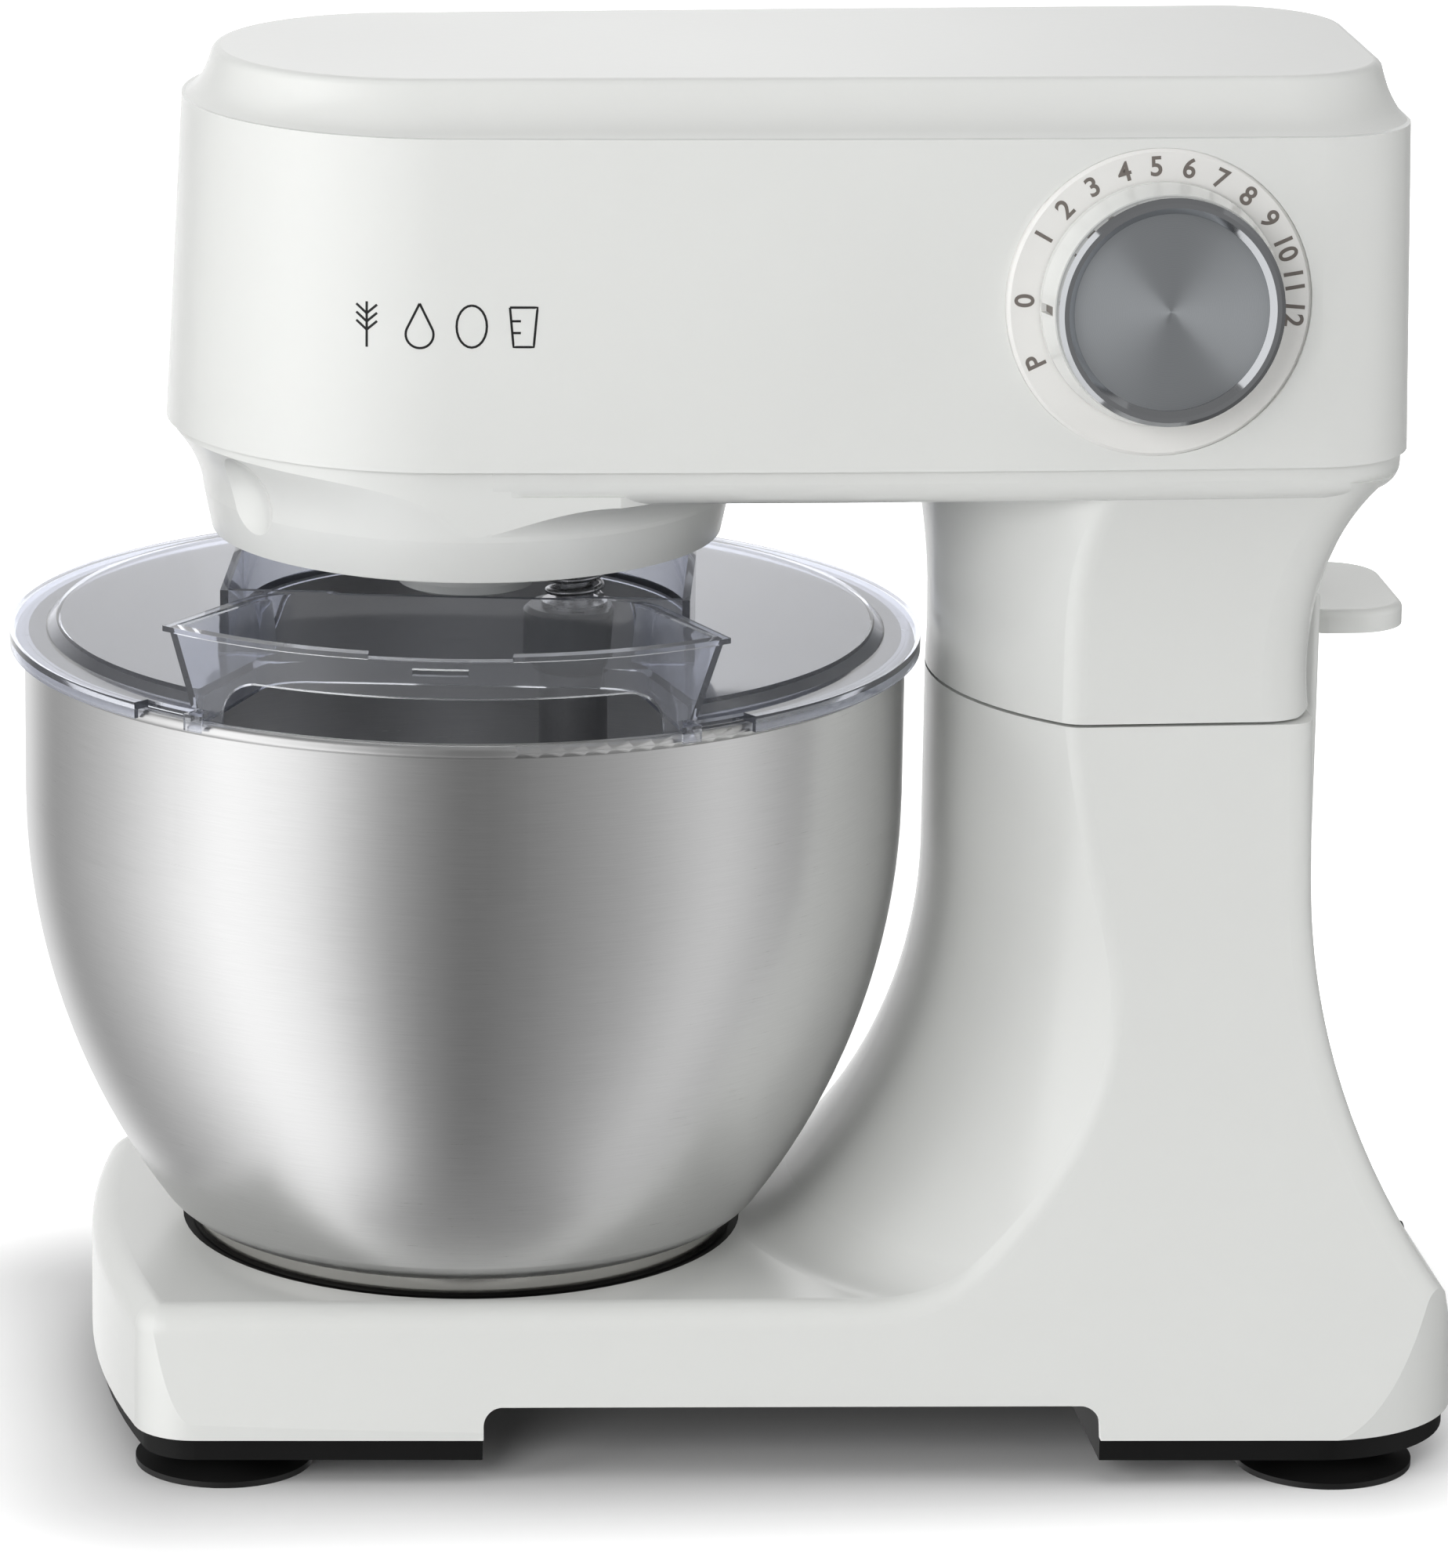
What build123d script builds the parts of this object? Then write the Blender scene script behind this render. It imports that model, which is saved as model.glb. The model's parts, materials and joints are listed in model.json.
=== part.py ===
from build123d import *
import math
import os

# Tilt-head stand mixer with a steel bowl, a clear splash guard and a planetary drive.
# Millimetres. +Z up, the bowl end points to -X, the speed dial faces -Y, z = 0 is the table.

# Places of the main axes
bowl_x = -69.0            # bowl, planetary drive and worm wheel axis
hinge_x = 137.0           # tilt axis, along Y
hinge_z = 213.0
bowl_radius = 115.0
column_gap = 7.5          # between the bowl rim and the column
motor_y = 29.0            # motor and worm axis, along X
motor_z = 300.0
dial_x = 99.0             # speed dial centre
dial_z = 307.5
dial_turn = 2.0           # dial faces this far towards the rear, degrees
dial_lean = 2.6           # and this far upwards

# Heights
foot_height = 7.0
base_edge_z = 13.0        # lower edge of the white base
base_top_z = 47.0
split_z = 193.5           # column top, where the head lifts off
split_gap = 0.8
cup_z = 235.4             # lower edge of the gearbox cup
arm_z = 255.2             # underside of the arm
seam_z = 264.7            # cover meets lower housing
shoulder_z = 349.0
top_z = 361.3

# Base and column
base_front_x = -167.0
base_rear_x = 188.0
base_rear_top_x = 180.0
base_half_front = 80.5    # half-widths at the lower edge
base_half_rear = 107.5
base_front_bow = 10.0
base_rear_bow = 5.0
base_front_corner = 16.0
base_rear_corner = 38.0
column_half = 61.5
column_front_x = bowl_x + bowl_radius + column_gap
column_front_round = 80.0
column_front_bend = 134.0
column_front_bend_z = 145.0
column_foot_round = 25.0
column_rear_x = 146.0
column_rear_bend_z = 150.0
column_edge_round = 9.0
crease_round = 7.0
column_rear_round = 14.0
base_wall = 3.0
notch_half = 79.5
notch_x = 8.5
notch_height = 8.5
notch_round = 5.0

# Cord entry and cover screws
gland_z = 30.0
gland_radius = 7.0
gland_bore = 4.0
screw_front_y = base_half_front - 30.5
screw_rear_y = base_half_rear - 19.5
screw_boss = 5.0
screw_head = 3.4
screw_radius = 1.6
bracket_screw = 2.2
cover_inset = 2.0
cover_wall = 3.0

# Suction feet
foot_radius = 23.0
foot_front_x = -136.0
foot_front_y = base_half_front - 21.5
foot_rear_x = 150.0
foot_rear_y = base_half_rear - 24.5
foot_stem = 8.0

# Head outlines: front x, side start x, half-width there, amidships and at the rear, rear x, corner
seam_plan = (-147.0, -79.0, 70.0, 75.0, 75.5, 169.0, 28.0)
shoulder_plan = (-143.0, -79.0, 66.0, 71.0, 71.5, 167.5, 27.0)
plinth_plan = (-135.0, -85.0, 49.5, 52.0, 53.5, 163.5, 30.0)
ledge_share = 0.12        # narrow step at the shoulder
waist_share = 0.70        # concave rise to the top
waist_height = 0.42
plinth_edge = 2.5

# Head housings
head_wall = 2.8
lip = 1.6                 # cover overhang past the lower housing
cup_radius = 66.3
cup_top_radius = 68.5
cup_flare = 9.0           # hollow round from the cup into the arm
cup_lean = 8.0            # the front wall of the cup runs out this far to the seam
cup_spread = 1.5
dimple_radius = 15.7      # finger dimple in the front of the cup
dimple_depth = 2.5
dimple_z = 248.0
dimple_turn = 212.0
arm_round = 6.0
neck_side_flare = 11.0
neck_rear_flare = 18.0

# Rear panel and release lever
panel_half = 44.0
panel_thick = 3.5
panel_top_z = 224.0
panel_low_z = 134.0
panel_gap = 1.5
lever_x = 118.0           # lever pivot
lever_z = 212.0
lever_tip_x = 177.0
lever_half = 28.0
lever_arm_half = 14.0
lever_thick = 6.0
lever_pin_radius = 2.5

# Hinge
pin_radius = 3.6
pin_clear = 0.05
bush_wall = 2.4
ear_radius = 10.0         # lower-housing ears that hang on the pins
ear_inner = 46.5
ear_outer = 51.5
bracket_inner = 35.0
bracket_outer = 43.0
bracket_radius = 6.5
latch_radius = 20.0       # latch face, round the tilt axis
latch_half = 8.0
latch_clear = 0.6

# Speed dial
dial_radius = 39.2
dial_thick = 4.0
dial_proud = 1.4
dial_y = 73.3             # side wall at the dial
dial_seat = 6.0
dial_neck = 24.0
dial_back = 9.0
switch_shaft_radius = 3.0
knob_radius = 31.0
knob_height = 13.0
knob_ring_radius = 29.0
knob_cap_radius = 25.0
knob_clear = 0.6

# Planetary drive
orbit = 28.5
gear_module = 1.5
ring_teeth = 50
pinion_teeth = 12
hub_radius = 62.3
hub_low_z = 234.2
hub_thick = 4.0
nose_radius = 18.5
nose_low_z = 219.0
shaft_radius = 6.0
tool_radius = 5.0
running_clear = 0.06
bush_radius = 8.0
pinion_width = 7.0
frame_z = 250.0           # underside of the gear frame
frame_thick = 6.0
frame_radius = 60.0
bridge_z = 320.0
bearing_radius = 14.0
small_bearing = 9.5
cross_pin_radius = 1.75
cross_pin_z = 208.5

# Worm drive
worm_module = 1.25
wheel_teeth = 36
worm_pitch_radius = 6.5
wheel_width = 12.0

# Motor
stator_radius = 33.0
stator_half = 31.0
stator_length = 50.0
stator_x = 8.0
rotor_radius = 19.4
air_gap = 0.8
motor_shaft_radius = 4.0
commutator_x = 70.0
front_plate_x = -24.0
rear_plate_x = 92.0

# Bowl
bowl_wall = 1.0
bowl_rim_z = 206.0
bead_radius = 1.7
bowl_straight_z = 165.0
bowl_bend = 182.5
bowl_floor_z = 51.0
bowl_floor_radius = 62.0
bowl_foot_radius = 71.5
bowl_foot_z = 46.7
seat_radius = 74.0
seat_depth = 8.0
foot_collar = 58.0
lug_radius = 64.0
lug_low_z = 40.5

# Splash guard
guard_radius = bowl_radius + 4.0
guard_top_z = 208.4
guard_wall = 2.0
guard_lip = 4.2
guard_flange = 9.5
guard_slot_half = 58.0
guard_turn = -8.6
chute_top_z = 227.4
chute_rim_radius = guard_radius - 9.0
chute_foot_radius = guard_radius - 5.5
chute_rim_half = 70.0
chute_foot_half = 62.0
chute_back_y = -48.0
chute_back_half = 48.0
chute_corner = 14.0
chute_rim = 1.4
chute_arch_half = 55.0
chute_arch_z = 216.5
chute_arch_round = 9.0
chute_dip_half = 18.0
skirt_top_z = 228.0
notch_radius = bowl_radius - 0.8   # lip cut back beside the chute, between these angles
notch_start = 33.0
notch_end = 41.0

# Tool
collar_radius = 13.3
collar_top_z = 213.0
collar_low_z = 196.0
shank_radius = 9.0
hook_radius = 6.5
hook_top_z = 150.0
hook_low_z = 74.0
hook_reach = 28.0
spring_radius = 7.0
spring_wire = 1.6
spring_turns = 5


def block(x0, x1, y0, y1, z0, z1):
    size = (x1 - x0, y1 - y0, z1 - z0)
    return Pos((x0 + x1) / 2, (y0 + y1) / 2, (z0 + z1) / 2) * Box(*size)


def post(radius, z0, z1, x=0.0, y=0.0):
    return Pos(x, y, (z0 + z1) / 2) * Cylinder(radius, z1 - z0)


def tube(outer, inner, z0, z1, x=0.0, y=0.0):
    return post(outer, z0, z1, x, y) - post(inner, z0 - 1, z1 + 1, x, y)


def rod_x(radius, x0, x1, y=motor_y, z=motor_z):
    return Pos((x0 + x1) / 2, y, z) * Rot(0, 90, 0) * Cylinder(radius, x1 - x0)


def rod_y(radius, y0, y1, x, z):
    return Pos(x, (y0 + y1) / 2, z) * Rot(90, 0, 0) * Cylinder(radius, y1 - y0)


def turned(points):
    """Solid of revolution about Z from (radius, height) points."""
    outline = Polyline(*[(r, 0, z) for r, z in points], close=True)
    return revolve(make_face(outline), Axis.Z)


def side_plate(points, y0, y1):
    """Plate in the XZ plane, y0 to y1 thick."""
    outline = Polyline(*[(x, y0, z) for x, z in points], close=True)
    return extrude(make_face(outline), y1 - y0, dir=(0, 1, 0))


def mirrored(shape):
    return mirror(shape, Plane.XZ)


def biarc(p0, t0, p1, t1):
    """Two arcs that join two points with given unit tangents."""
    p0, p1, t0, t1 = Vector(*p0), Vector(*p1), Vector(*t0), Vector(*t1)
    gap = p1 - p0
    both = t0 + t1
    a = both.dot(both) - 4
    b = -2 * gap.dot(both)
    c = gap.dot(gap)
    d = -c / b if abs(a) < 1e-9 else (-b - math.sqrt(b * b - 4 * a * c)) / (2 * a)
    left, right = p0 + t0 * d, p1 - t1 * d
    middle = (left + right) * 0.5
    return [TangentArc(p0, middle, tangent=t0), TangentArc(middle, p1, tangent=(right - left))]


def wound_path(place, angles):
    """Unbroken chain of arcs along place(angle), one pair of arcs for each step of angle."""
    def tangent(angle, step=1e-4):
        ahead, behind = Vector(*place(angle + step)), Vector(*place(angle - step))
        return (ahead - behind).normalized()
    edges = []
    for first, last in zip(angles, angles[1:]):
        edges += biarc(place(first), tangent(first), place(last), tangent(last))
    return Wire(edges), tangent(angles[0])


def wound_tube(radius, place, angles):
    path, start = wound_path(place, angles)
    section = Plane(origin=place(angles[0]), z_dir=start) * Circle(radius)
    return sweep(section, path=path)


def coil_place(mean, low, high, turns):
    def place(angle):
        height = low + (high - low) * angle / (2 * math.pi * turns)
        return (mean * math.cos(angle), mean * math.sin(angle), height)
    return place


def coil(mean, wire, low, high, turns):
    """Coil spring about Z with its wire centre from low to high."""
    angles = [math.pi / 2 * k for k in range(4 * turns + 1)]
    return wound_tube(wire / 2, coil_place(mean, low, high, turns), angles)


def least_gap(mean, wire, low, high, turns):
    """Least clear space between two turns of a coil, measured on points along its wire."""
    place = coil_place(mean, low, high, turns)
    points = [place(2 * math.pi * k / 60) for k in range(60 * turns + 1)]
    return min(math.dist(a, b) for i, a in enumerate(points) for b in points[i + 30:]) - wire


# Base and column


def base_body(inset):
    """Flared base and column in one piece, all faces moved in by inset."""
    low, high = base_edge_z, split_z - inset
    front, rear = base_front_x + inset, base_rear_x - inset

    def section(x, half_low):
        half_top = column_half - inset
        half = half_low - inset
        bow = (half - half_top) * 0.30
        middle = (half_top + bow, (low + high) / 2 + 12)
        right = ThreePointArc((x, half, low), (x, middle[0], middle[1]), (x, half_top, high))
        left = ThreePointArc((x, -half_top, high), (x, -middle[0], middle[1]), (x, -half, low))
        edges = [Line((x, -half, low), (x, half, low)), right, Line((x, half_top, high), (x, -half_top, high)), left]
        return make_face(edges)

    past = 5.0
    widen = past * (base_half_rear - base_half_front) / (rear - front)
    flared = loft([section(front - past, base_half_front - widen), section(rear + past, base_half_rear + widen)],
                  ruled=True)

    bend = column_rear_x - inset
    drop = column_rear_bend_z - base_top_z
    reach = base_rear_top_x - column_rear_x
    radius = (drop ** 2 + reach ** 2) / (2 * reach)
    turn = math.asin(drop / radius) / 2
    mid_x = bend + radius * (1 - math.cos(turn))
    mid_z = column_rear_bend_z - radius * math.sin(turn)
    side = make_face([
        Polyline((bend, 0, column_rear_bend_z), (bend, 0, high), (front - past, 0, high), (front - past, 0, low),
                 (rear + 0.6, 0, low), (base_rear_top_x - inset, 0, base_top_z)),
        ThreePointArc((base_rear_top_x - inset, 0, base_top_z), (mid_x, 0, mid_z),
                      (bend, 0, column_rear_bend_z)),
    ])
    body = flared & extrude(side, base_half_rear + 20, both=True, dir=(0, 1, 0))

    plan = base_plan(inset, low)
    body = body & extrude(plan, high - low)

    axis = column_front_x + column_front_round
    bend_x = column_front_round - inset
    fall = column_front_bend_z - base_top_z
    shift = column_front_bend - math.sqrt(column_front_bend ** 2 - fall ** 2)
    half_fall = math.asin(fall / column_front_bend) / 2
    mid = (bend_x + column_front_bend * (1 - math.cos(half_fall)),
           column_front_bend_z - column_front_bend * math.sin(half_fall))
    far = axis - base_front_x + base_half_rear
    top = base_top_z - inset
    outline = make_face([
        Line((0, 0, low), (far, 0, low)),
        Line((far, 0, low), (far, 0, top)),
        Line((far, 0, top), (bend_x + shift + inset * 0.5, 0, top)),
        ThreePointArc((bend_x + shift + inset * 0.5, 0, top), (mid[0], 0, mid[1]),
                      (bend_x, 0, column_front_bend_z)),
        Line((bend_x, 0, column_front_bend_z), (bend_x, 0, high)),
        Line((bend_x, 0, high), (0, 0, high)),
        Line((0, 0, high), (0, 0, low)),
    ])
    corner = outline.vertices().sort_by_distance((bend_x + shift + inset * 0.5, 0, top))[0]
    outline = fillet([corner], column_foot_round)
    envelope = Pos(axis, 0, 0) * revolve(outline, Axis.Z)
    return body & envelope


def base_plan(inset, z):
    front, rear = base_front_x + inset, base_rear_x - inset
    a, b = base_half_front - inset, base_half_rear - inset
    face = make_face([
        ThreePointArc((front + base_front_bow, a, z), (front, 0, z), (front + base_front_bow, -a, z)),
        Line((front + base_front_bow, -a, z), (rear - base_rear_bow, -b, z)),
        ThreePointArc((rear - base_rear_bow, -b, z), (rear, 0, z), (rear - base_rear_bow, b, z)),
        Line((rear - base_rear_bow, b, z), (front + base_front_bow, a, z)),
    ])
    corners = face.vertices().sort_by(Axis.X)
    face = fillet(corners[:2], base_front_corner - inset)
    corners = face.vertices().sort_by(Axis.X)[-2:]
    return fillet(corners, base_rear_corner - inset)


def rounded_base():
    """Outer form with its long creases rounded."""
    body = base_body(0)
    creases = [e for e in body.edges()
               if base_edge_z + 8 < e.center().Z < split_z - 1 and e.length > 7
               and (abs(e.center().Z - base_top_z) < 3 or e.center().Z > base_top_z + 4)
               and e.geom_type != GeomType.LINE and e.center().X < base_rear_top_x - 5]
    sides = [e for e in creases if abs(e.center().Y) > column_half - 5 or e.center().X < base_front_x + 5]
    return fillet(sides, crease_round)


def base_shell(outer):
    shell = outer - base_body(base_wall)
    pocket_floor = base_top_z - seat_depth - base_wall
    shell += post(seat_radius + base_wall, pocket_floor, base_top_z - base_wall / 2, bowl_x)
    shell -= post(seat_radius, base_top_z - seat_depth, base_top_z + 1, bowl_x)
    shell -= notch_form(0, -1)
    shell -= rod_x(gland_radius, base_rear_x - 40, base_rear_x + 5, 0, gland_z)
    for x, y in screw_places():
        boss_top = pocket_floor + 1 if x < bowl_x + seat_radius else split_z
        boss = post(screw_boss, base_edge_z + 3, boss_top, x, y)
        shell += (boss & outer) - post(screw_radius, base_edge_z, base_edge_z + 14, x, y)
    for x, y in bracket_screw_places():
        shell -= post(bracket_screw, split_z - base_wall - 1, split_z + 1, x, y)
    return shell


def notch_form(wall, low):
    """Finger channel that runs across under the base."""
    high = base_edge_z + notch_height + wall
    reach = base_half_rear + 20
    channel = block(notch_x - notch_half - wall, notch_x + notch_half + wall, -reach, reach, low, high)
    return fillet(channel.edges().filter_by(Axis.Y).sort_by(Axis.Z)[-2:], notch_round + wall)


def screw_places():
    places = ((foot_front_x + 42, screw_front_y), (foot_rear_x - 34, screw_rear_y))
    return [(x, side * y) for x, y in places for side in (-1, 1)]


def bracket_screw_places():
    return [(x, y) for x in (lever_x - 28, lever_x) for y in (-12.0, 12.0)]


def bottom_cover():
    inset = base_wall + 0.4
    rim = extrude(base_plan(inset + 3, base_edge_z), 5.0)
    band = extrude(base_plan(cover_inset, foot_height), base_edge_z - foot_height)
    cover = band + rim - extrude(base_plan(inset + 6, foot_height + 3.0), 20.0)
    cover += notch_form(cover_wall, base_edge_z) & base_body(inset - 0.1)
    cover += notch_form(cover_wall, foot_height) & band
    for x, y in foot_places():
        cover += post(foot_stem + 5, foot_height, foot_height + 6, x, y)
        cover -= post(foot_stem, foot_height - 1, foot_height + 7, x, y)
    cover -= notch_form(0, -1)
    for x, y in screw_places():
        cover += post(screw_boss, foot_height + 1, base_edge_z + 3, x, y)
        cover -= post(screw_head + 0.4, foot_height - 1, foot_height + 2.6, x, y)
        cover -= post(screw_radius + 0.3, foot_height - 1, base_edge_z + 4, x, y)
    return cover


def cover_screws():
    screws = []
    for x, y in screw_places():
        screw = post(screw_head, foot_height + 0.4, foot_height + 2.6, x, y)
        screw += post(screw_radius, foot_height + 2, base_edge_z + 12, x, y)
        screws.append(screw)
    return Compound(screws)


def foot_places():
    return [(foot_front_x, -foot_front_y), (foot_front_x, foot_front_y),
            (foot_rear_x, -foot_rear_y), (foot_rear_x, foot_rear_y)]


def suction_foot(x, y):
    rim = foot_radius
    outline = make_face([
        Polyline((0, 0, 2.2), (rim - 4, 0, 0.8), (rim - 2.5, 0, 0), (rim, 0, 0), (rim, 0, 1.6)),
        ThreePointArc((rim, 0, 1.6), (foot_stem + 6.5, 0, 4.2), (foot_stem + 2.5, 0, foot_height)),
        Polyline((foot_stem + 2.5, 0, foot_height), (foot_stem - 0.2, 0, foot_height),
                 (foot_stem - 0.2, 0, foot_height + 6.5), (0, 0, foot_height + 6.5), (0, 0, 2.2)),
    ])
    return Pos(x, y, 0) * revolve(outline, Axis.Z)


def cord_gland():
    inner = base_rear_x - 11.5
    outer = rod_x(gland_radius, inner, base_rear_x - 1, 0, gland_z)
    flange = rod_x(gland_radius + 2.5, inner, inner + 2.6, 0, gland_z)
    return outer + flange - rod_x(gland_bore, base_rear_x - 30, base_rear_x + 5, 0, gland_z)


def bowl_seat():
    floor = base_top_z - seat_depth
    top = bowl_foot_z - 0.3
    seat = tube(seat_radius - 0.2, lug_radius + 1.0, floor, top)
    for k in range(3):
        wedge = sector(lug_radius + 2.0, foot_collar + 1.0, top - 2.4, top, 120 * k - 25, 120 * k + 25)
        seat += wedge
    return Pos(bowl_x, 0, 0) * seat


def sector(outer, inner, z0, z1, start, end):
    middle = math.radians((start + end) / 2)
    a, b = math.radians(start), math.radians(end)

    def point(radius, angle):
        return (radius * math.cos(angle), radius * math.sin(angle), z0)
    face = make_face([
        ThreePointArc(point(outer, a), point(outer, middle), point(outer, b)),
        Line(point(outer, b), point(inner, b)),
        ThreePointArc(point(inner, b), point(inner, middle), point(inner, a)),
        Line(point(inner, a), point(outer, a)),
    ])
    return extrude(face, z1 - z0)


def rear_panel(column):
    """Cover plate on the rear of the column; the lever comes out through its slot."""
    inner = column_rear_x
    outer = column_rear_x + panel_thick
    outline = [(inner, panel_low_z), (inner, panel_top_z), (outer - 1, panel_top_z), (outer, panel_top_z - 1.5),
               (outer, panel_low_z + 6), (inner + 0.8, panel_low_z)]
    panel = side_plate(outline, -panel_half, panel_half)
    uprights = panel.edges().filter_by(Axis.Z).sort_by(Axis.X)[-2:]
    panel = fillet(uprights, 2.0) - column
    slot_low = lever_z - 8
    panel -= block(inner - 5, outer + 5, -lever_arm_half - 1, lever_arm_half + 1, slot_low, panel_top_z - 2)
    return panel.solids().sort_by(SortBy.VOLUME)[-1]


def hinge_bracket():
    """Steel bracket on the column top that carries the hinge and the lever."""
    foot_front, foot_rear = lever_x - 38, hinge_x + 1
    plate = block(foot_front, foot_rear, -bracket_outer, bracket_outer, split_z, split_z + 4)
    boss = rod_y(bracket_radius, bracket_inner, bracket_outer, hinge_x, hinge_z)
    cheek = side_plate([(foot_front + 14, split_z + 2), (foot_rear, split_z + 2), (hinge_x + bracket_radius - 1, hinge_z),
                        (hinge_x - 2, hinge_z + bracket_radius - 1), (lever_x - 4, lever_z + 8),
                        (lever_x - 12, lever_z + 2)], bracket_inner, bracket_outer)
    one = boss + cheek
    bracket = plate + one + mirrored(one)
    bracket -= rod_y(pin_radius, -60, 60, hinge_x, hinge_z)
    bracket -= rod_y(lever_pin_radius, -60, 60, lever_x, lever_z)
    for x, y in bracket_screw_places():
        bracket -= post(bracket_screw, split_z - 1, split_z + 5, x, y)
    return bracket


def bracket_screws():
    screws = []
    for x, y in bracket_screw_places():
        screw = post(bracket_screw, split_z - base_wall - 5, split_z + 4.5, x, y)
        screws.append(screw + post(bracket_screw + 1.8, split_z + 4, split_z + 6.4, x, y))
    return Compound(screws)


def hinge_pins():
    """Two short pins, one on each side, so that the lever can pass between them."""
    pin = rod_y(pin_radius, bracket_inner - 1.0, ear_outer + 1.0, hinge_x, hinge_z)
    pin = chamfer(pin.edges().filter_by(GeomType.CIRCLE), 0.8)
    return Compound([pin, mirrored(pin)])


def lever_pin():
    return rod_y(lever_pin_radius, -bracket_outer, bracket_outer, lever_x, lever_z)


def lever_spring():
    """Torsion spring on the lever pin."""
    inner = lever_arm_half + 1.2
    spring = coil(lever_pin_radius + 0.75, 1.4, inner, inner + 8.0, 4)
    return Pos(lever_x, 0, lever_z) * Rot(-90, 0, 0) * spring


def release_lever():
    """Paddle behind the column, arm through the panel and a nose against the latch rib."""
    low, high = lever_z - lever_thick / 2, lever_z + lever_thick / 2
    hub = rod_y(lever_pin_radius + 4, -lever_arm_half, lever_arm_half, lever_x, lever_z)
    outer = column_rear_x + panel_thick
    arm = block(lever_x, outer + 6, -lever_arm_half, lever_arm_half, low, high)
    paddle = block(outer + 1.5, lever_tip_x, -lever_half, lever_half, low, high)
    paddle = fillet(paddle.edges().filter_by(Axis.Z).sort_by(Axis.X)[-2:], 14)
    paddle = fillet(paddle.edges().filter_by(Axis.Z).sort_by(Axis.X)[:2], 4)
    paddle = fillet(paddle.faces().sort_by(Axis.Z)[-1].edges(), 2)
    nose = block(lever_x, lever_x + 13, -latch_half, latch_half, lever_z, lever_z + 18)
    nose = nose & rod_y(latch_radius, -latch_half - 1, latch_half + 1, hinge_x, hinge_z)
    lever = hub + arm + paddle + nose
    return lever - rod_y(lever_pin_radius + running_clear, -60, 60, lever_x, lever_z)


# Head housings


def head_plan(level, inset, z):
    """Outline of the head: round front, gently bowed sides, flat rear."""
    front, start, half, middle, end, rear, corner = level
    front, half, middle, end, rear = front + inset, half - inset, middle - inset, end - inset, rear - inset
    center = (start + rear) / 2
    face = make_face([
        ThreePointArc((start, half, z), (front, 0, z), (start, -half, z)),
        ThreePointArc((start, -half, z), (center, -middle, z), (rear, -end, z)),
        Line((rear, -end, z), (rear, end, z)),
        ThreePointArc((rear, end, z), (center, middle, z), (start, half, z)),
    ])
    return fillet(face.vertices().sort_by(Axis.X)[-2:], corner - inset)


def cover_form(inset):
    sides = loft([head_plan(seam_plan, inset, seam_z), head_plan(shoulder_plan, inset, shoulder_z)], ruled=True)
    foot = [a + (b - a) * ledge_share for a, b in zip(shoulder_plan, plinth_plan)]
    waist = [a + (b - a) * waist_share for a, b in zip(shoulder_plan, plinth_plan)]
    waist_z = shoulder_z + (top_z - shoulder_z) * waist_height
    low = shoulder_z - 0.5 * inset
    plinth = loft([head_plan(foot, inset, low), head_plan(waist, inset, waist_z - 0.7 * inset),
                   head_plan(plinth_plan, inset, top_z - inset)])
    return sides + plinth


def head_cover():
    outer = cover_form(0)
    rim = outer.faces().sort_by(Axis.Z)[-1].edges()
    outer = fillet(rim, plinth_edge)
    cover = outer - cover_form(head_wall)
    face = dial_plane()
    cover += face * post(dial_radius + 2.5, -dial_seat, -2.0)
    cover -= face * post(dial_radius + 0.06, dial_proud - dial_thick, 12)
    cover -= face * post(dial_neck + 0.4, -20, 12)
    return cover


def neck_section(front, rear, half, inset, z):
    front, rear, half = front + inset, rear - inset, half - inset
    bow = column_front_round - math.sqrt(column_front_round ** 2 - half ** 2)
    face = make_face([
        ThreePointArc((front + bow, half, z), (front, 0, z), (front + bow, -half, z)),
        Line((front + bow, -half, z), (rear, -half, z)),
        Line((rear, -half, z), (rear, half, z)),
        Line((rear, half, z), (front + bow, half, z)),
    ])
    order = face.vertices().sort_by(Axis.X)
    face = fillet(order[:2], column_edge_round - inset / 2)
    return fillet(face.vertices().sort_by(Axis.X)[-2:], column_rear_round - inset / 2)


def neck_form(inset):
    low = split_z + split_gap
    high = seam_z - 5.0
    steps = ((0.0, 0.0), (0.45, 0.04), (0.75, 0.38), (1.0, 1.0))
    sections = []
    for rise, flare in steps:
        sections.append(neck_section(column_front_x - 8.0 * flare, column_rear_x + neck_rear_flare * flare,
                                     column_half + neck_side_flare * flare, inset, low + (high - low) * rise))
    return loft(sections)


def rear_half():
    return block(bowl_x, base_rear_x, -base_half_rear, base_half_rear, cup_z, seam_z + 2)


def leaning_cup(inset, low, high):
    """Upper wall of the cup, whose front runs out in a hollow curve to the front of the cover."""
    rings = []
    for share in (0, 0.3, 0.6, 0.85, 1.08):
        height = arm_z - cup_flare + (seam_z - arm_z + cup_flare) * share
        radius = cup_top_radius + cup_spread * share - inset
        rings.append(Pos(bowl_x - cup_lean * share ** 2, 0, height) * Circle(radius))
    return loft(rings) & block(base_front_x, base_rear_x, -base_half_rear, base_half_rear, low, high)


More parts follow.
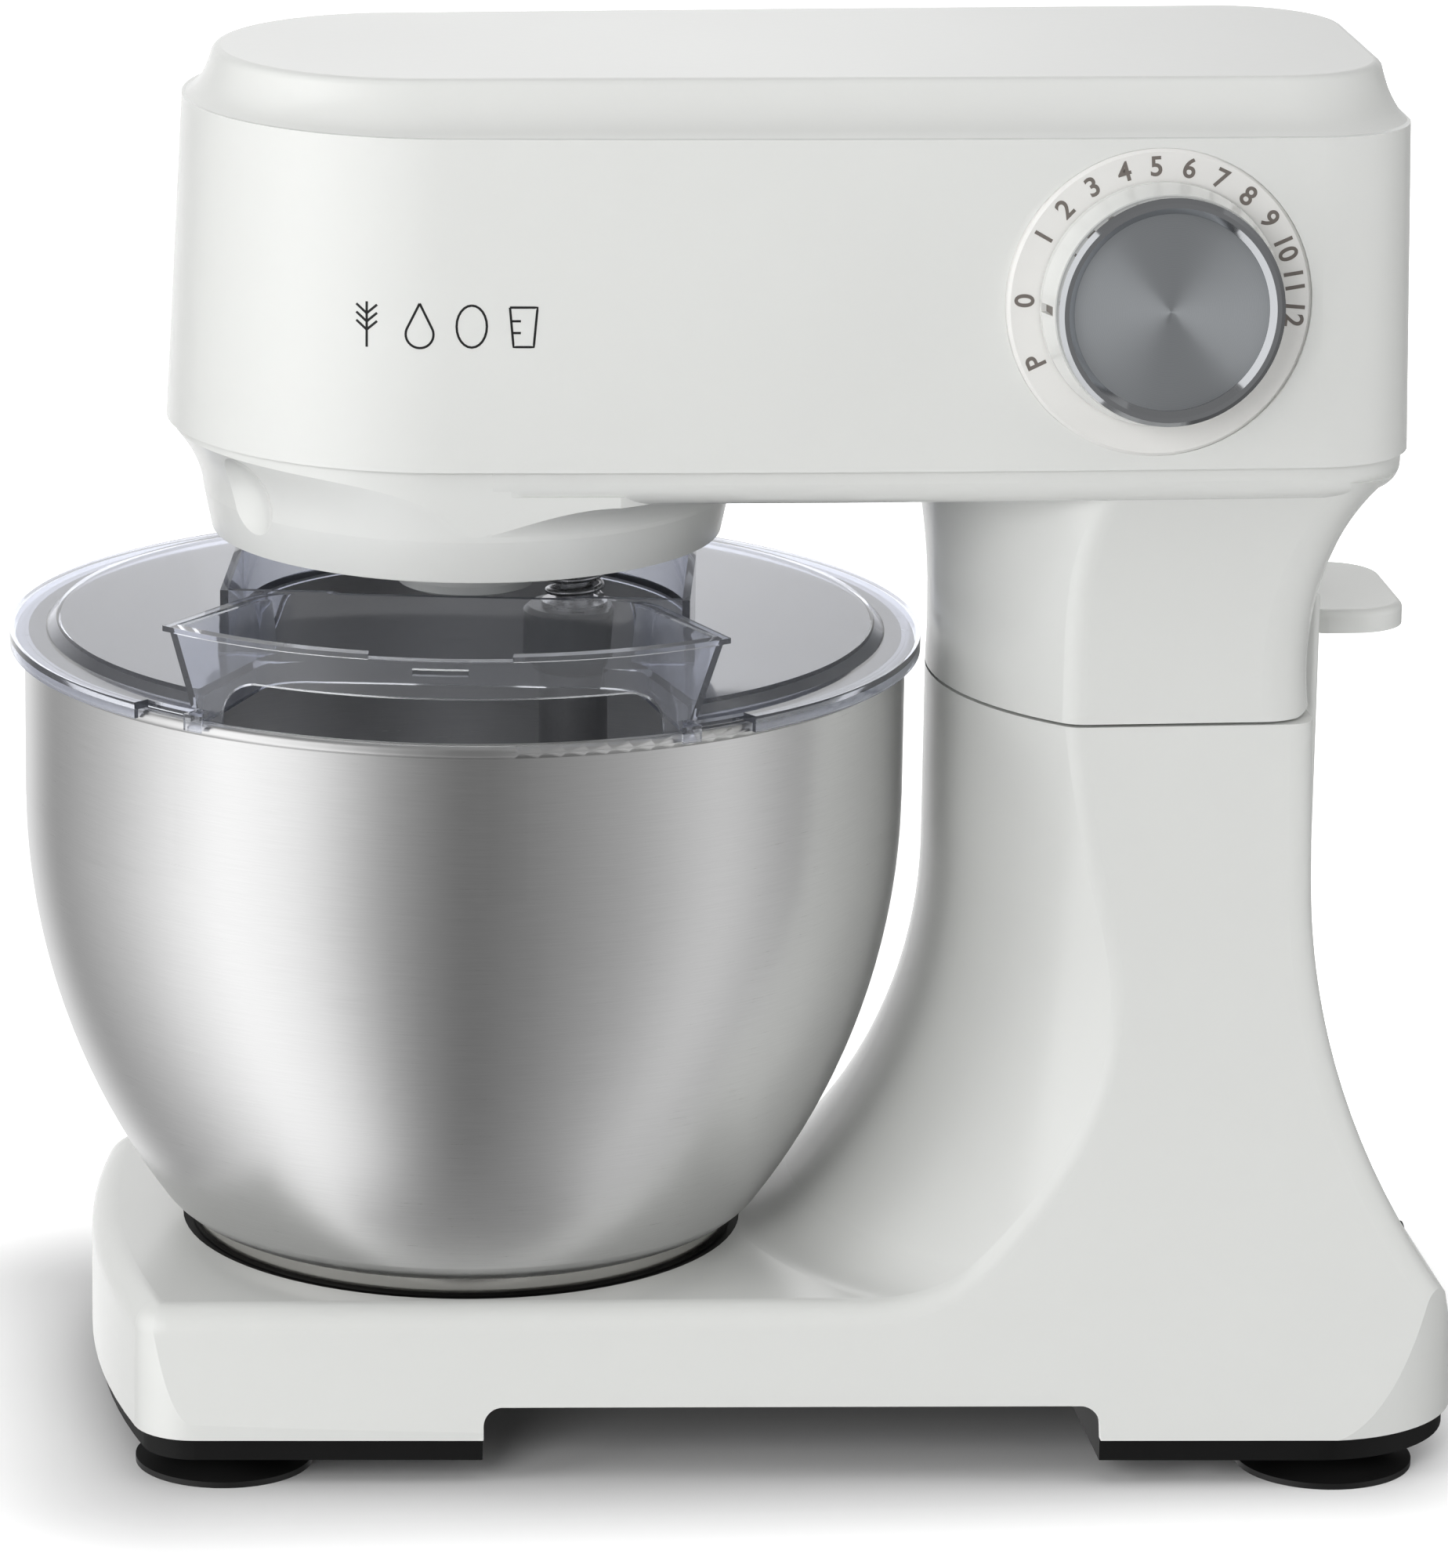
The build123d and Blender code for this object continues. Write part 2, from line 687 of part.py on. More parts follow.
def lower_housing_form():
    tray = extrude(head_plan(seam_plan, lip, arm_z), seam_z - arm_z)
    under = tray.faces().sort_by(Axis.Z)[0].edges()
    tray = fillet(under, arm_round) & rear_half()
    bend = arm_z - cup_flare
    wide = cup_top_radius + cup_flare
    turn = cup_flare * math.sqrt(0.5)
    side = make_face([
        Polyline((0, 0, bend), (cup_top_radius, 0, bend)),
        ThreePointArc((cup_top_radius, 0, bend), (wide - turn, 0, bend + turn), (wide, 0, arm_z)),
        Polyline((wide, 0, arm_z), (wide, 0, arm_z + head_wall), (0, 0, arm_z + head_wall), (0, 0, bend)),
    ])
    cup = Pos(bowl_x, 0, 0) * revolve(side, Axis.Z) & rear_half()
    cup += leaning_cup(0, bend, seam_z)
    cup += Pos(bowl_x, 0, 0) * turned([(0, cup_z), (cup_radius, cup_z), (cup_top_radius, bend), (0, bend)])
    cup = cup & extrude(head_plan(seam_plan, lip + 0.25, cup_z), seam_z - cup_z)
    return tray + cup + neck_form(0)


def lower_housing():
    outer = lower_housing_form()
    floor = arm_z + head_wall
    room = extrude(head_plan(seam_plan, lip + head_wall, floor), seam_z - floor + 1)
    well = post(cup_radius - head_wall, cup_z - 1, floor + 1, bowl_x)
    housing = outer - (room & rear_half()) - (room & leaning_cup(head_wall, floor, seam_z + 1))
    housing = housing - well - neck_form(head_wall)
    reach = cup_top_radius + dimple_radius - dimple_depth
    dimple = Rot(0, 0, dimple_turn) * Pos(reach, 0, dimple_z) * Sphere(dimple_radius)
    housing -= Pos(bowl_x, 0, 0) * dimple
    shelf = tube(cup_radius - head_wall / 2, frame_radius - 10, frame_z - 3.0, frame_z, bowl_x)
    housing += shelf
    housing -= block(column_rear_x - 8, column_rear_x + 40, -panel_half - panel_gap, panel_half + panel_gap,
                     split_z - 1, panel_top_z + 4.5)
    rib = block(column_front_x + 1, hinge_x - 9, 1 - latch_half, latch_half - 1, lever_z + 10, lever_z + 28)
    housing += rib - rod_y(latch_radius + latch_clear, -latch_half, latch_half, hinge_x, hinge_z)
    ear = rod_y(ear_radius, ear_inner, ear_outer, hinge_x, hinge_z)
    ear += block(hinge_x - ear_radius, hinge_x + ear_radius, ear_inner, ear_outer, hinge_z, seam_z - 4)
    ear = ear & outer
    bore = rod_y(pin_radius + bush_wall, panel_half, ear_outer, hinge_x, hinge_z)
    swing = block(hinge_x, hinge_x + 20, panel_half, column_half + 5, split_z, hinge_z)
    swing -= rod_y(hinge_z - split_z - 0.3, panel_half - 1, column_half + 6, hinge_x, hinge_z)
    swing += bore
    return housing + ear + mirrored(ear) - swing - mirrored(swing)


def hinge_bushes():
    bush = rod_y(pin_radius + bush_wall, ear_inner, ear_outer, hinge_x, hinge_z)
    bush -= rod_y(pin_radius + pin_clear, ear_inner - 1, ear_outer + 1, hinge_x, hinge_z)
    return Compound([bush, mirrored(bush)])


# Speed dial


def dial_plane():
    turn, lean = math.radians(dial_turn), math.radians(dial_lean)
    out = (math.sin(turn) * math.cos(lean), -math.cos(turn) * math.cos(lean), math.sin(lean))
    return Plane(origin=(dial_x, -dial_y, dial_z), x_dir=(math.cos(turn), math.sin(turn), 0), z_dir=out)


def dial_ring():
    ring = post(dial_radius, dial_proud - dial_thick, dial_proud)
    ring = chamfer(ring.faces().sort_by(Axis.Z)[-1].edges(), 0.8)
    ring += post(dial_neck, -dial_back, dial_proud - dial_thick + 0.5)
    ring -= post(switch_shaft_radius + 0.6, -dial_back - 1, dial_proud + 1)
    return dial_plane() * ring


def speed_switch():
    body = block(-17, 17, -15, 15, -dial_back - 18, -dial_back)
    body = fillet(body.edges().filter_by(Axis.Z), 2.5)
    for x in (-9, 0, 9):
        body += block(x - 2.4, x + 2.4, -0.4, 0.4, -dial_back - 25, -dial_back - 17.5)
    body -= post(switch_shaft_radius + running_clear, -dial_back - 8, -dial_back + 1)
    return dial_plane() * body


def switch_shaft():
    shaft = post(switch_shaft_radius, -dial_back - 7.5, dial_proud + knob_clear + 8)
    return dial_plane() * shaft


def speed_knob():
    low = dial_proud + knob_clear
    knob = turned([(0, low), (knob_radius, low), (knob_radius, low + 2.5), (knob_radius - 1.6, low + knob_height - 2),
                   (knob_ring_radius, low + knob_height - 2), (knob_ring_radius, low + knob_height - 3.5),
                   (0, low + knob_height - 3.5)])
    knob -= post(switch_shaft_radius, low - 1, dial_proud + knob_clear + 8)
    mark = block(-knob_radius - 1, -knob_radius + 1.4, -1.2, 1.2, low + 1.5, low + knob_height)
    return dial_plane() * (knob - mark)


def knob_ring():
    low = dial_proud + knob_clear + knob_height - 3.5
    wall = knob_ring_radius
    ring = turned([(knob_cap_radius, low), (wall, low), (wall, low + 5.0), (wall - 1.2, low + 6.2),
                   (wall - 2.4, low + 6.2), (knob_cap_radius, low + 4.6)])
    return dial_plane() * ring


def knob_cap():
    low = dial_proud + knob_clear + knob_height - 3.5
    cap = turned([(0, low), (knob_cap_radius, low), (knob_cap_radius, low + 4.4), (0, low + 3.6)])
    return dial_plane() * cap


def control_board():
    board = block(-6, 46, -52, -50.4, arm_z + head_wall, 300)
    for x, z, w, h, d in ((4, 270, 14, 14, 8), (24, 268, 10, 18, 10), (36, 284, 12, 12, 6)):
        board += block(x - w / 2, x + w / 2, -50.5, -50.4 + d, z - h / 2, z + h / 2)
    return board


# Planetary drive


def gear_outline(teeth, module, addendum, dedendum, share, z):
    """Spur gear face about Z with one tooth on +X; share is the tooth's part of the pitch."""
    pitch = module * teeth / 2
    slope = math.tan(math.radians(20))
    points = []
    for k in range(teeth):
        centre = 2 * math.pi * k / teeth
        width = math.pi * module * share / 2
        levels = [(pitch - dedendum, width + dedendum * slope), (pitch, width), (pitch + addendum, width - addendum * slope)]
        for sign, rows in ((-1, levels), (1, levels[::-1])):
            for radius, across in rows:
                angle = centre + sign * across / radius
                points.append((radius * math.cos(angle), radius * math.sin(angle), z))
    return make_face(Polyline(*points, close=True))


def ring_gear():
    low, high = frame_z - pinion_width - 0.8, frame_z
    pitch = gear_module * ring_teeth / 2
    body = post(pitch + 7.5, low, high)
    space = gear_outline(ring_teeth, gear_module, 1.75, 1.15, 0.60, low - 1)
    body -= extrude(space, high - low + 2)
    return Pos(bowl_x, 0, 0) * body


def planet_pinion():
    low = frame_z - pinion_width - 0.6
    gear = extrude(gear_outline(pinion_teeth, gear_module, 1.2, 1.6, 0.42, low), pinion_width)
    gear -= post(tool_radius, low - 1, low + pinion_width + 1)
    return Pos(bowl_x + orbit, 0, 0) * gear


def planet_hub():
    top = hub_low_z + hub_thick
    boss_top = frame_z - pinion_width - 1.2
    nose = turned([(0, nose_low_z), (nose_radius - 3, nose_low_z), (nose_radius - 0.8, nose_low_z + 1),
                   (nose_radius, nose_low_z + 3.2), (nose_radius + 1, hub_low_z + 1), (0, hub_low_z + 1)])
    hub = post(hub_radius, hub_low_z, top) + nose + post(13, hub_low_z, boss_top)
    hub += post(bush_radius + 3, hub_low_z - 1.2, boss_top, orbit)
    hub -= post(bush_radius, hub_low_z - 2, boss_top + 1, orbit)
    hub -= post(shaft_radius, nose_low_z + 7, boss_top + 1)
    return Pos(bowl_x, 0, 0) * hub


def tool_bush():
    low, high = hub_low_z - 1.2, frame_z - pinion_width - 1.2
    return tube(bush_radius, tool_radius, low, high, bowl_x + orbit) - post(
        tool_radius + running_clear, low - 1, high + 1, bowl_x + orbit)


def drive_shaft():
    shaft = post(shaft_radius, nose_low_z + 7, bridge_z + 8, bowl_x)
    return chamfer(shaft.edges().filter_by(GeomType.CIRCLE), 0.8)


def worm_wheel():
    low, high = motor_z - wheel_width / 2, motor_z + wheel_width / 2
    pitch = worm_module * wheel_teeth / 2
    wheel = extrude(gear_outline(wheel_teeth, worm_module, 1.0, 1.5, 0.36, low), wheel_width)
    wheel = Rot(0, 0, 90 + 180 / wheel_teeth) * wheel
    for z0, z1 in ((low - 1, low + 3.5), (high - 3.5, high + 1)):
        wheel -= tube(pitch - 5, 11, z0, z1)
    wheel += post(11, low - 2, high + 2)
    wheel -= post(shaft_radius, low - 5, high + 5)
    return Pos(bowl_x, 0, 0) * wheel


def gear_frame():
    """Cast frame: plate in the cup, four posts, top bridge and worm bearing block."""
    plate = post(frame_radius, frame_z, frame_z + frame_thick)
    bridge = block(-36, 36, -34, 52, bridge_z, bridge_z + frame_thick)
    bridge = fillet(bridge.edges().filter_by(Axis.Z), 9)
    frame = plate + bridge
    for x in (-30, 30):
        for y in (-28, 46):
            frame += post(5.0, frame_z + 1, bridge_z + 1, x, y)
    frame += block(-34, -26, motor_y - 10, motor_y + 10, frame_z + 1, motor_z + 12)
    frame -= post(bearing_radius, frame_z - 1, frame_z + frame_thick + 1)
    frame -= post(bearing_radius, bridge_z - 1, bridge_z + frame_thick + 1)
    frame -= rod_x(small_bearing, -40, -20)
    return Pos(bowl_x, 0, 0) * frame


def shaft_bearing(z):
    return tube(bearing_radius, shaft_radius + running_clear, z, z + frame_thick, bowl_x)


def motor_bearing(x, width):
    return rod_x(small_bearing, x, x + width) - rod_x(motor_shaft_radius + running_clear, x - 1, x + width + 1)


# Motor


def motor_shaft():
    return rod_x(motor_shaft_radius, bowl_x - 36, rear_plate_x + 8)


def worm():
    """Single-start worm: a thread swept round a core."""
    lead = math.pi * worm_module
    turns = 6
    height = turns * lead
    root = worm_pitch_radius - 1.5
    tip = worm_pitch_radius + 1.0
    wide, thin = 0.95, 0.45
    path = Helix(lead, height, root - 0.3)
    outline = make_face(Polyline((root - 0.3, 0, -wide), (tip, 0, -thin), (tip, 0, thin), (root - 0.3, 0, wide), close=True))
    thread = sweep(outline, path=path, is_frenet=True)
    core = post(root, -3, height + 3)
    local = Pos(0, 0, -height / 2) * (core + thread)
    local -= post(motor_shaft_radius, -height, height)
    return Pos(bowl_x, motor_y, motor_z) * Rot(0, 90, 0) * Rot(0, 0, -90) * local


def motor_stator():
    end = stator_x + stator_length
    core = rod_x(stator_radius, stator_x, end)
    core &= block(stator_x - 1, end + 1, motor_y - stator_radius, motor_y + stator_radius, motor_z - stator_half, motor_z + stator_half)
    core -= rod_x(rotor_radius + air_gap, stator_x - 1, end + 1)
    for side in (-1, 1):
        core -= block(stator_x - 1, end + 1, motor_y + side * 22 - 4, motor_y + side * 22 + 4, motor_z - 11, motor_z + 11)
    return core


def motor_cradle():
    floor = arm_z + head_wall
    cradle = block(stator_x + 6, stator_x + 40, motor_y - 24, motor_y + 24, floor, motor_z - 16)
    return cradle - rod_x(stator_radius, 0, 80) - block(0, 80, -10, 80, motor_z - stator_half, motor_z)


def field_coils():
    coils = []
    end = stator_x + stator_length
    for x in (stator_x - 7, end):
        for side in (90, 270):
            arc = sector(27.5, 21.0, 0, 7, side - 50, side + 50)
            coils.append(Pos(x, motor_y, motor_z) * Rot(0, 90, 0) * Rot(0, 0, 90) * arc)
    return Compound(coils)


def armature():
    end = stator_x + stator_length
    core = rod_x(rotor_radius, stator_x, end)
    for k in range(12):
        slot = block(stator_x - 1, end + 1, -1.1, 1.1, rotor_radius - 5, rotor_radius + 1)
        core -= Pos(0, motor_y, motor_z) * Rot(30 * k, 0, 0) * slot
    return core - rod_x(motor_shaft_radius, stator_x - 1, end + 1)


def armature_windings():
    end = stator_x + stator_length
    coils = []
    for x0, x1 in ((stator_x - 6, stator_x), (end, end + 8)):
        coil_end = rod_x(15.5, x0, x1) - rod_x(motor_shaft_radius + 2, x0 - 1, x1 + 1)
        coils.append(coil_end)
    return Compound(coils)


def commutator():
    x0, x1 = commutator_x, commutator_x + 16
    body = rod_x(12, x0, x1)
    for k in range(12):
        slot = block(x0 + 2, x1 + 1, -0.4, 0.4, 10.5, 13)
        body -= Pos(0, motor_y, motor_z) * Rot(30 * k + 15, 0, 0) * slot
    return body - rod_x(motor_shaft_radius, x0 - 1, x1 + 1)


def cooling_fan():
    x0 = stator_x - 19
    fan = rod_x(10, x0, x0 + 9)
    fan += rod_x(27, x0 + 7.5, x0 + 9)
    for k in range(9):
        blade = block(x0, x0 + 8, -0.8, 0.8, 8, 25.5)
        fan += Pos(0, motor_y, motor_z) * Rot(40 * k, 0, 0) * blade
    return fan - rod_x(motor_shaft_radius, x0 - 1, x0 + 10)


def end_bracket(plate, towards):
    """Motor end plate with two arms that reach the stator face."""
    x0, x1 = plate, plate + 6
    frame = rod_x(22, x0, x1)
    far0, far1 = min(x0, towards), max(x1, towards)
    frame += block(x0, x1, motor_y - 8, motor_y + 8, motor_z - 29, motor_z + 29)
    for side in (-1, 1):
        z = motor_z + side * 30.5
        arm = block(far0, far1, motor_y - 8, motor_y + 8, z - 2.0, z + 2.0)
        frame += arm
        toe = motor_z + side * 27.5
        frame += block(x0, x1, motor_y - 8, motor_y + 8, min(toe, z), max(toe, z))
    return frame - rod_x(small_bearing, x0 - 1, x1 + 1)


def brush_holders():
    holders = []
    for side in (-1, 1):
        holder = Pos(0, 0, 0) * block(commutator_x + 3, rear_plate_x, min(side * 12.4, side * 27) + motor_y,
                                      max(side * 12.4, side * 27) + motor_y, motor_z - 5, motor_z + 5)
        holders.append(holder)
    return Compound(holders)


# Bowl and splash guard


def bowl_form(inset):
    radius = bowl_radius - inset
    floor = bowl_floor_z + inset
    bend = bowl_bend - inset
    low = bowl_floor_z + 6
    drop = bowl_straight_z - low

    def wall(fall):
        return radius - bend + math.sqrt(bend ** 2 - fall ** 2)
    foot = (wall(drop), low)
    knee = (bowl_floor_radius + 0.66 * (foot[0] - bowl_floor_radius), floor + 0.22 * (low - floor))
    face = make_face([
        Line((0, 0, floor), (bowl_floor_radius, 0, floor)),
        ThreePointArc((bowl_floor_radius, 0, floor), (knee[0], 0, knee[1]), (foot[0], 0, foot[1])),
        ThreePointArc((foot[0], 0, foot[1]), (wall(drop / 2), 0, low + drop / 2), (radius, 0, bowl_straight_z)),
        Line((radius, 0, bowl_straight_z), (radius, 0, bowl_rim_z)),
        Line((radius, 0, bowl_rim_z), (0, 0, bowl_rim_z)),
        Line((0, 0, bowl_rim_z), (0, 0, floor)),
    ])
    return revolve(face, Axis.Z)


def mixing_bowl():
    bowl = bowl_form(0) - bowl_form(bowl_wall)
    ring = bowl_radius + bead_radius - bowl_wall
    bowl += Pos(0, 0, bowl_rim_z - bead_radius) * Torus(ring, bead_radius)
    bowl -= post(bowl_radius - bowl_wall, bowl_rim_z - 5, bowl_rim_z + 1)
    return Pos(bowl_x, 0, 0) * bowl


def bowl_foot():
    top = bowl_floor_z + 5
    web = bowl_foot_z + 1.8
    ring = turned([(bowl_foot_radius - 3, bowl_foot_z), (bowl_foot_radius, bowl_foot_z), (bowl_foot_radius + 1.5, top),
                   (foot_collar - 2.5, top), (foot_collar - 2.5, lug_low_z), (foot_collar, lug_low_z),
                   (foot_collar, web), (bowl_foot_radius - 3, web)])
    for k in range(3):
        ring += sector(lug_radius, foot_collar - 1, lug_low_z, lug_low_z + 2.8, 120 * k - 15, 120 * k + 15)
    ring -= bowl_form(0)
    return Pos(bowl_x, 0, 0) * ring


def splash_guard():
    """Clear lid on the bowl rim: flange, skirt round the drive and a chute with an arched front."""
    wall = guard_wall
    low = guard_top_z - guard_lip
    step = guard_radius - guard_flange
    dome = guard_top_z + 2.8
    lid = turned([(guard_radius - 1.3, low), (guard_radius, low), (guard_radius, guard_top_z), (step, guard_top_z),
                  (step - 3, dome), (40, dome + 1.0), (40, dome + 1.0 - wall), (step - 3.8, dome - wall),
                  (step - 0.8, guard_top_z - wall), (guard_radius - 1.3, guard_top_z - wall)])
    mouth = chute_foot_half - 2
    lid -= block(-mouth, mouth, -guard_radius - 5, -math.sqrt(chute_foot_radius ** 2 - mouth ** 2), low - 5, dome + 5)
    for side in (-90 - notch_end, -90 + notch_start):
        lid -= sector(guard_radius + 5, notch_radius, low - 1, guard_top_z + 1, side, side + notch_end - notch_start)

    slot = guard_slot_half
    back = chute_back_y
    skirt = post(slot + wall, dome - wall, skirt_top_z)
    skirt -= block(-slot - wall, slot + wall, -slot - wall - 1, 0, dome - wall - 1, skirt_top_z + 1)
    skirt += block(-slot - wall, slot + wall, back - wall, 0, dome - wall, skirt_top_z)
    hole = post(slot, low - 5, skirt_top_z + 5) + block(-slot, slot, back, 0, low - 5, skirt_top_z + 5)
    guard = lid + skirt - hole

    def outline(z, radius, half, inset):
        radius, half, rear = radius - inset, half - inset, chute_back_half - inset
        side = -math.sqrt(radius ** 2 - half ** 2)
        face = make_face([
            ThreePointArc((-half, side, z), (0, -radius, z), (half, side, z)),
            Polyline((half, side, z), (rear, back - max(inset, 0), z), (-rear, back - max(inset, 0), z), (-half, side, z)),
        ])
        return fillet(face.vertices().sort_by(Axis.Y)[-2:], chute_corner - inset)
    outer, inner = [loft([outline(low, chute_foot_radius, chute_foot_half, inset),
                          outline(chute_top_z, chute_rim_radius, chute_rim_half, inset)], ruled=True)
                    for inset in (0.0, wall)]
    rim = extrude(outline(chute_top_z - chute_rim, chute_rim_radius, chute_rim_half, -chute_rim), chute_rim)
    chute = outer + rim - inner
    front = -guard_radius - 5
    arch = block(-chute_arch_half, chute_arch_half, front, front + 34, low - 5, chute_arch_z)
    chute -= fillet(arch.edges().filter_by(Axis.Y).sort_by(Axis.Z)[-2:], chute_arch_round)
    chute -= block(-chute_dip_half, chute_dip_half, front, front + 24, chute_top_z - 1.2, chute_top_z + 1)
    chute -= block(-7, 7, front, front + 24, chute_top_z - 5.2, chute_top_z - 3.7)
    guard = guard - outer + chute
    return Pos(bowl_x, 0, 0) * Rot(0, 0, guard_turn) * guard


# Mixing tool


def tool_shaft():
    shaft = post(tool_radius, collar_top_z - 12, frame_z - 0.4, bowl_x + orbit)
    return shaft - rod_y(cross_pin_radius, -12, 12, bowl_x + orbit, cross_pin_z)


def cross_pin():
    return rod_y(cross_pin_radius, -9.5, 9.5, bowl_x + orbit, cross_pin_z)


def tool_washer():
    return tube(spring_radius + 1.6, tool_radius, collar_top_z, collar_top_z + 1.2, bowl_x + orbit)


def tool_spring():
    low = collar_top_z + 1.2 + spring_wire / 2 + 0.05
    high = hub_low_z - 1.2 - spring_wire / 2 - 0.3
    wound = (spring_radius, spring_wire, low, high, spring_turns)
    print("tool spring: least gap between turns", round(least_gap(*wound), 2), "mm")
    return Pos(bowl_x + orbit, 0, 0) * coil(*wound)


def hook_collar():
    collar = turned([(0, collar_low_z), (shank_radius + 1.5, collar_low_z), (collar_radius, collar_low_z + 4),
                     (collar_radius, collar_top_z - 1.2), (collar_radius - 1.2, collar_top_z), (0, collar_top_z)])
    collar -= post(tool_radius, collar_top_z - 12, collar_top_z + 1)
    collar -= block(-cross_pin_radius, cross_pin_radius, -9.6, 9.6, cross_pin_z - cross_pin_radius, collar_top_z + 1)
    return Pos(bowl_x + orbit, 0, 0) * collar


def dough_hook():
    sweep_angle = 1.6 * math.pi

    def place(angle):
        share = angle / sweep_angle
        radius = hook_reach * share ** 2 * (3 - 2 * share)
        return (radius * math.cos(angle), radius * math.sin(angle), hook_top_z + (hook_low_z - hook_top_z) * share)
    steps = [sweep_angle * k / 8 for k in range(9)]
    rod = wound_tube(hook_radius, place, steps)
    tip = Vector(*place(sweep_angle))
    end = rod.edges().sort_by(lambda e: (e.center() - tip).length)[0]
    rod = fillet([end], hook_radius - 1.0)
    shank = turned([(0, hook_top_z - 6), (hook_radius + 0.9, hook_top_z - 6), (shank_radius, hook_top_z + 14),
                    (shank_radius, collar_low_z), (0, collar_low_z)])
    return Pos(bowl_x + orbit, 0, 0) * (rod + shank)


def build_all():
    column = rounded_base()
    made = {
        "base_shell": base_shell(column),
        "bottom_cover": bottom_cover(),
        "cover_screws": cover_screws(),
        "cord_gland": cord_gland(),
        "bowl_seat": bowl_seat(),
        "rear_panel": rear_panel(column),
        "hinge_bracket": hinge_bracket(),
        "bracket_screws": bracket_screws(),
        "hinge_pins": hinge_pins(),
        "lever_pin": lever_pin(),
        "lever_spring": lever_spring(),
        "release_lever": release_lever(),
        "lower_housing": lower_housing(),
        "head_cover": head_cover(),
        "hinge_bushes": hinge_bushes(),
        "dial_ring": dial_ring(),
        "speed_switch": speed_switch(),
        "switch_shaft": switch_shaft(),
        "speed_knob": speed_knob(),
        "knob_ring": knob_ring(),
        "knob_cap": knob_cap(),
        "control_board": control_board(),
        "gear_frame": gear_frame(),
        "ring_gear": ring_gear(),
        "drive_bearing_lower": shaft_bearing(frame_z),
        "drive_bearing_upper": shaft_bearing(bridge_z),
        "worm_bearing": motor_bearing(bowl_x - 34, 8),
        "motor_stator": motor_stator(),
        "motor_cradle": motor_cradle(),
        "field_coils": field_coils(),
        "motor_front_bracket": end_bracket(front_plate_x, stator_x),
        "motor_rear_bracket": end_bracket(rear_plate_x, stator_x + stator_length),
        "motor_bearing_front": motor_bearing(front_plate_x, 6),
        "motor_bearing_rear": motor_bearing(rear_plate_x, 6),
        "brush_holders": brush_holders(),
        "motor_shaft": motor_shaft(),
        "worm": worm(),
        "armature": armature(),
        "armature_windings": armature_windings(),
        "commutator": commutator(),
        "cooling_fan": cooling_fan(),
        "planet_hub": planet_hub(),
        "drive_shaft": drive_shaft(),
        "worm_wheel": worm_wheel(),
        "tool_bush": tool_bush(),
        "tool_shaft": tool_shaft(),
        "planet_pinion": planet_pinion(),
        "cross_pin": cross_pin(),
        "tool_washer": tool_washer(),
        "tool_spring": tool_spring(),
        "hook_collar": hook_collar(),
        "dough_hook": dough_hook(),
        "mixing_bowl": mixing_bowl(),
        "bowl_foot": bowl_foot(),
        "splash_guard": splash_guard(),
    }
    for name, (x, y) in zip(("front_left", "front_right", "rear_left", "rear_right"), foot_places()):
        made["suction_foot_" + name] = suction_foot(x, y)
    return made


if __name__ == "__main__":
    os.makedirs("parts", exist_ok=True)
    for name, shape in build_all().items():
        export_step(shape, "parts/" + name + ".step")
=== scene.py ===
# %% [markdown]
# # A tilt-head stand mixer
#
# The mixer stands on a white table: a white moulded body, a brushed steel bowl, a clear splash guard and
# a metal speed knob. The exact shapes come from the CAD model, which is loaded as a fixed frame. This
# lesson adds what CAD doesn't hold: finishes, printed marks, light and the camera. Lengths are in metres,
# +Z is up, and the speed dial faces -Y.

# %% Load the frame
import json
import math

import bmesh
import bpy
from mathutils import Matrix, Vector


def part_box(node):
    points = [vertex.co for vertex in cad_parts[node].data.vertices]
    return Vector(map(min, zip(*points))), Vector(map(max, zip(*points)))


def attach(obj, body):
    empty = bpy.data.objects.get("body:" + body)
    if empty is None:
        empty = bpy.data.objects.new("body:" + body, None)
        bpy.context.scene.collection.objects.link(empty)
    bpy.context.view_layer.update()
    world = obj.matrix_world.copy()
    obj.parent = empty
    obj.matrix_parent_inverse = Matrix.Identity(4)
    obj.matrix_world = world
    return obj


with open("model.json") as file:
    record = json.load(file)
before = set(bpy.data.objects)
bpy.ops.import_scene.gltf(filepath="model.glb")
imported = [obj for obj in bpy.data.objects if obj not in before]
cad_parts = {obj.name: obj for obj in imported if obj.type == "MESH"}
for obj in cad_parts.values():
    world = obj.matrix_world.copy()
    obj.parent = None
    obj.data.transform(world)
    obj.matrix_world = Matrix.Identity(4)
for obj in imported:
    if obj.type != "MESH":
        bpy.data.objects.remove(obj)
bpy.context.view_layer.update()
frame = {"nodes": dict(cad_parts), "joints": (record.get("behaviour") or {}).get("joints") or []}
nodes = frame["nodes"]
MM = 0.001
print("frame nodes:", len(nodes))


# %% [markdown]
# ## The camera
#
# A product photographer stands far back with a long lens, so the mixer hardly tapers. The distance, the
# two angles and the small roll come from fitting the rim ellipses and the base in the photograph. Blender
# puts the sensor width on the longer side of a portrait picture, so the focal length follows from the
# picture's height.

# %% Camera
picture_height_px = 2001
focal_px = 10325
view_turn = math.radians(-7.265)
view_rise = math.radians(15.27)
view_roll = math.radians(0.937)
view_distance = 2.1364
view_target = Vector((-0.00023, 0.0, 0.1633))


